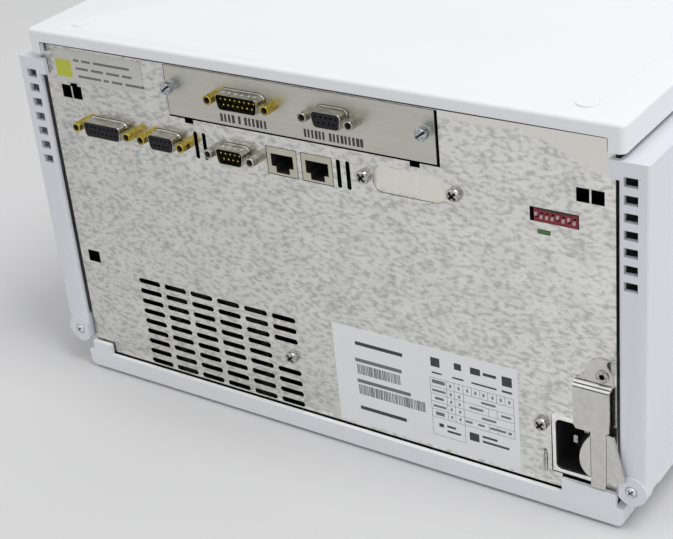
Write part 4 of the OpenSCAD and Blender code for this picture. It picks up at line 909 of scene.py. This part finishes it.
dark_words = [(-19.6, -46.5, 59.8, 61.8), (-19.4, -46.1, 22.4, 24.4), (-62.1, -67.0, 59.4, 64.4),
              (-74.8, -78.6, 60.8, 64.4), (-83.4, -88.7, 60.8, 64.4), (-90.1, -97.0, 61.6, 63.2),
              (-99.9, -105.1, 59.0, 64.2), (-99.7, -105.0, 55.4, 56.5), (-62.4, -67.8, 55.5, 56.4),
              (-73.5, -79.6, 55.5, 56.4), (-83.8, -97.0, 55.5, 56.4), (-64.6, -67.2, 25.6, 27.6),
              (-69.0, -73.8, 26.4, 27.6), (-69.0, -76.4, 23.6, 24.8), (-88.2, -96.2, 26.4, 27.6),
              (-88.2, -102.4, 23.6, 24.8), (-81.2, -86.4, 23.0, 27.6)]
grey_words = [(-18.8, -45.4, 50.2, 52.2), (-19.0, -49.6, 38.2, 40.2), (-62.2, -69.2, 50.0, 52.0),
              (-62.0, -69.4, 45.4, 46.6), (-63.2, -68.0, 41.0, 42.4), (-62.2, -69.2, 36.6, 37.8),
              (-63.2, -68.0, 32.0, 34.0), (-88.4, -96.0, 45.6, 46.8), (-82.0, -89.4, 41.2, 42.4),
              (-98.8, -104.0, 41.2, 42.4), (-88.4, -96.0, 36.8, 38.0), (-79.4, -83.2, 32.6, 33.8),
              (-86.2, -89.6, 32.6, 33.8), (-92.6, -101.0, 32.6, 33.8), (-102.2, -104.0, 32.4, 33.8)]
column = np.array([70.0, 74.2, 79.0])
digit_x = np.array([72.1, 76.6, 81.2, 85.6, 89.9, 94.6, 98.9, 103.4])
digits = np.stack([-digit_x + 0.5, -digit_x - 0.5, np.full(8, 49.7), np.full(8, 51.5)], -1)
marks = np.array([(-x + 0.5, -x - 0.5, z, z + 1.6) for x in (72.1, 76.7) for z in (45.1, 40.8, 36.6, 32.3)])
rows_z = np.array([52.9, 48.2, 44.0, 39.6, 35.2, 30.8])
table_l, table_r = -61.2, -105.6
level = lines(np.stack([np.full(6, table_l), rows_z], -1), np.stack([np.full(6, table_r), rows_z], -1), rule)
upright_x = np.array([table_l, *-column, table_r])
upright = lines(np.stack([upright_x, np.full(5, rows_z[-1])], -1),
                np.stack([upright_x, np.full(5, rows_z[0])], -1), rule)
short_x = np.array([-83.5, -87.9, -92.1, -96.7, -101.1])
short = lines(np.stack([short_x, np.full(5, rows_z[1])], -1),
              np.stack([short_x, np.full(5, rows_z[0])], -1), rule)
lower = lines([(-92.1, 39.6), (-96.7, 39.6), (-92.1, 30.8), (-96.7, 30.8), (table_l, 20.4), (-79, 20.4),
               (table_l, 20.4)],
              [(-92.1, 44.0), (-96.7, 44.0), (-92.1, 35.2), (-96.7, 35.2), (table_l, 30.8), (-79, 30.8),
               (-79, 20.4)], rule)
codes = np.concatenate([code_bars(-19.6, -44.6, 43.2, 48.8, 26), code_bars(-19.6, -57.6, 31.4, 37.1, 40)])
fields("label_words", dark_words, film, dark_ink)
fields("label_notes", np.concatenate([grey_words, digits, marks, codes]), film, grey_ink)
fields("label_table", np.concatenate([level, upright, short, lower]), film, grey_ink)
fields("sticker_field", [(148.9, 138.4, 175.2, 184.4)], film, yellow_ink)
sticker_lines = [(184.2, (136.2, 132.6), (130.8, 125.0), (123.0, 99.4)),
                 (180.0, (135.4, 127.2), (125.2, 117.2), (115.2, 106.6), (104.8, 98.6)),
                 (175.8, (134.6, 119.4), (117.6, 114.2), (112.2, 105.4), (103.4, 91.6))]
small_word = 1.3
fields("sticker_words", [(*word, row[0], row[0] + small_word) for row in sticker_lines for word in row[1:]],
       film, grey_ink)
slot_words = [(45.8, 36.6, 166.6, 170.7), (35.2, 33.0, 166.6, 170.7), (31.6, 17.8, 166.6, 170.7),
              (-2.5, -14.8, 166.6, 170.7), (-16.4, -35.3, 166.6, 170.7)]
letter_pitch = 2.15
letters = np.concatenate([code_bars(a, b, low, high, max(1, round(abs(a - b) / letter_pitch)))
                          for a, b, low, high in slot_words])
fields("slot_words", letters, 0, dark_ink)

# The side panels are moulded shells of pale grey plastic. Their rear faces have seven square
# windows each, and a lug at the foot holds a screw.
side_plastic = finish("side_moulding", (0.745, 0.75, 0.805), mottle=0.012, patch=0.05, **moulding_grain)
for side in ("left", "right"):
    soften(f"{side}_side_panel", f"{side}_side_moulding", side_plastic, "case", 0.6 * MM)

# The top cover is a white moulded lid that lies over the side panels. A thin line of painted shadow
# follows the lower edge of its rear skirt and the inner edges of its corner legs.
cover_plastic = finish("cover_moulding", (0.835, 0.84, 0.87), 0.4, mottle=0.008, patch=0.06,
                       grain=0.00002, grit=0.0007)
# Width of the painted shadow line under the skirt
skirt_line = 0.7
soften("top_cover", "cover_shell", cover_plastic, "case", 0.3 * MM)
skirt_low = 192.9
leg_in = 154.4
leg_low, cover_rear = [v / MM for v in (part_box("top_cover")[0].z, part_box("top_cover")[1].y)]
painted_shade_line([(-leg_in, leg_low), (-leg_in, skirt_low), (leg_in, skirt_low), (leg_in, leg_low)],
          skirt_line, cover_rear - panel_y / MM + line_gap, points=600).name = "skirt_shade"

# The front cover and the door are plain white mouldings. The door hangs on a hinge at one
# side, and the power button and the lamp stand in the cover.
soften("front_cover", "front_moulding", cover_plastic, "case", 0.6 * MM)
soften("front_door", "door_moulding", cover_plastic, "front_door", 0.8 * MM)
soften("power_button", "button_moulding", cream_plastic, "power_button", 0.6 * MM)
soften("status_lamp", "lamp_lens", green_lens, "case", 0.5 * MM)
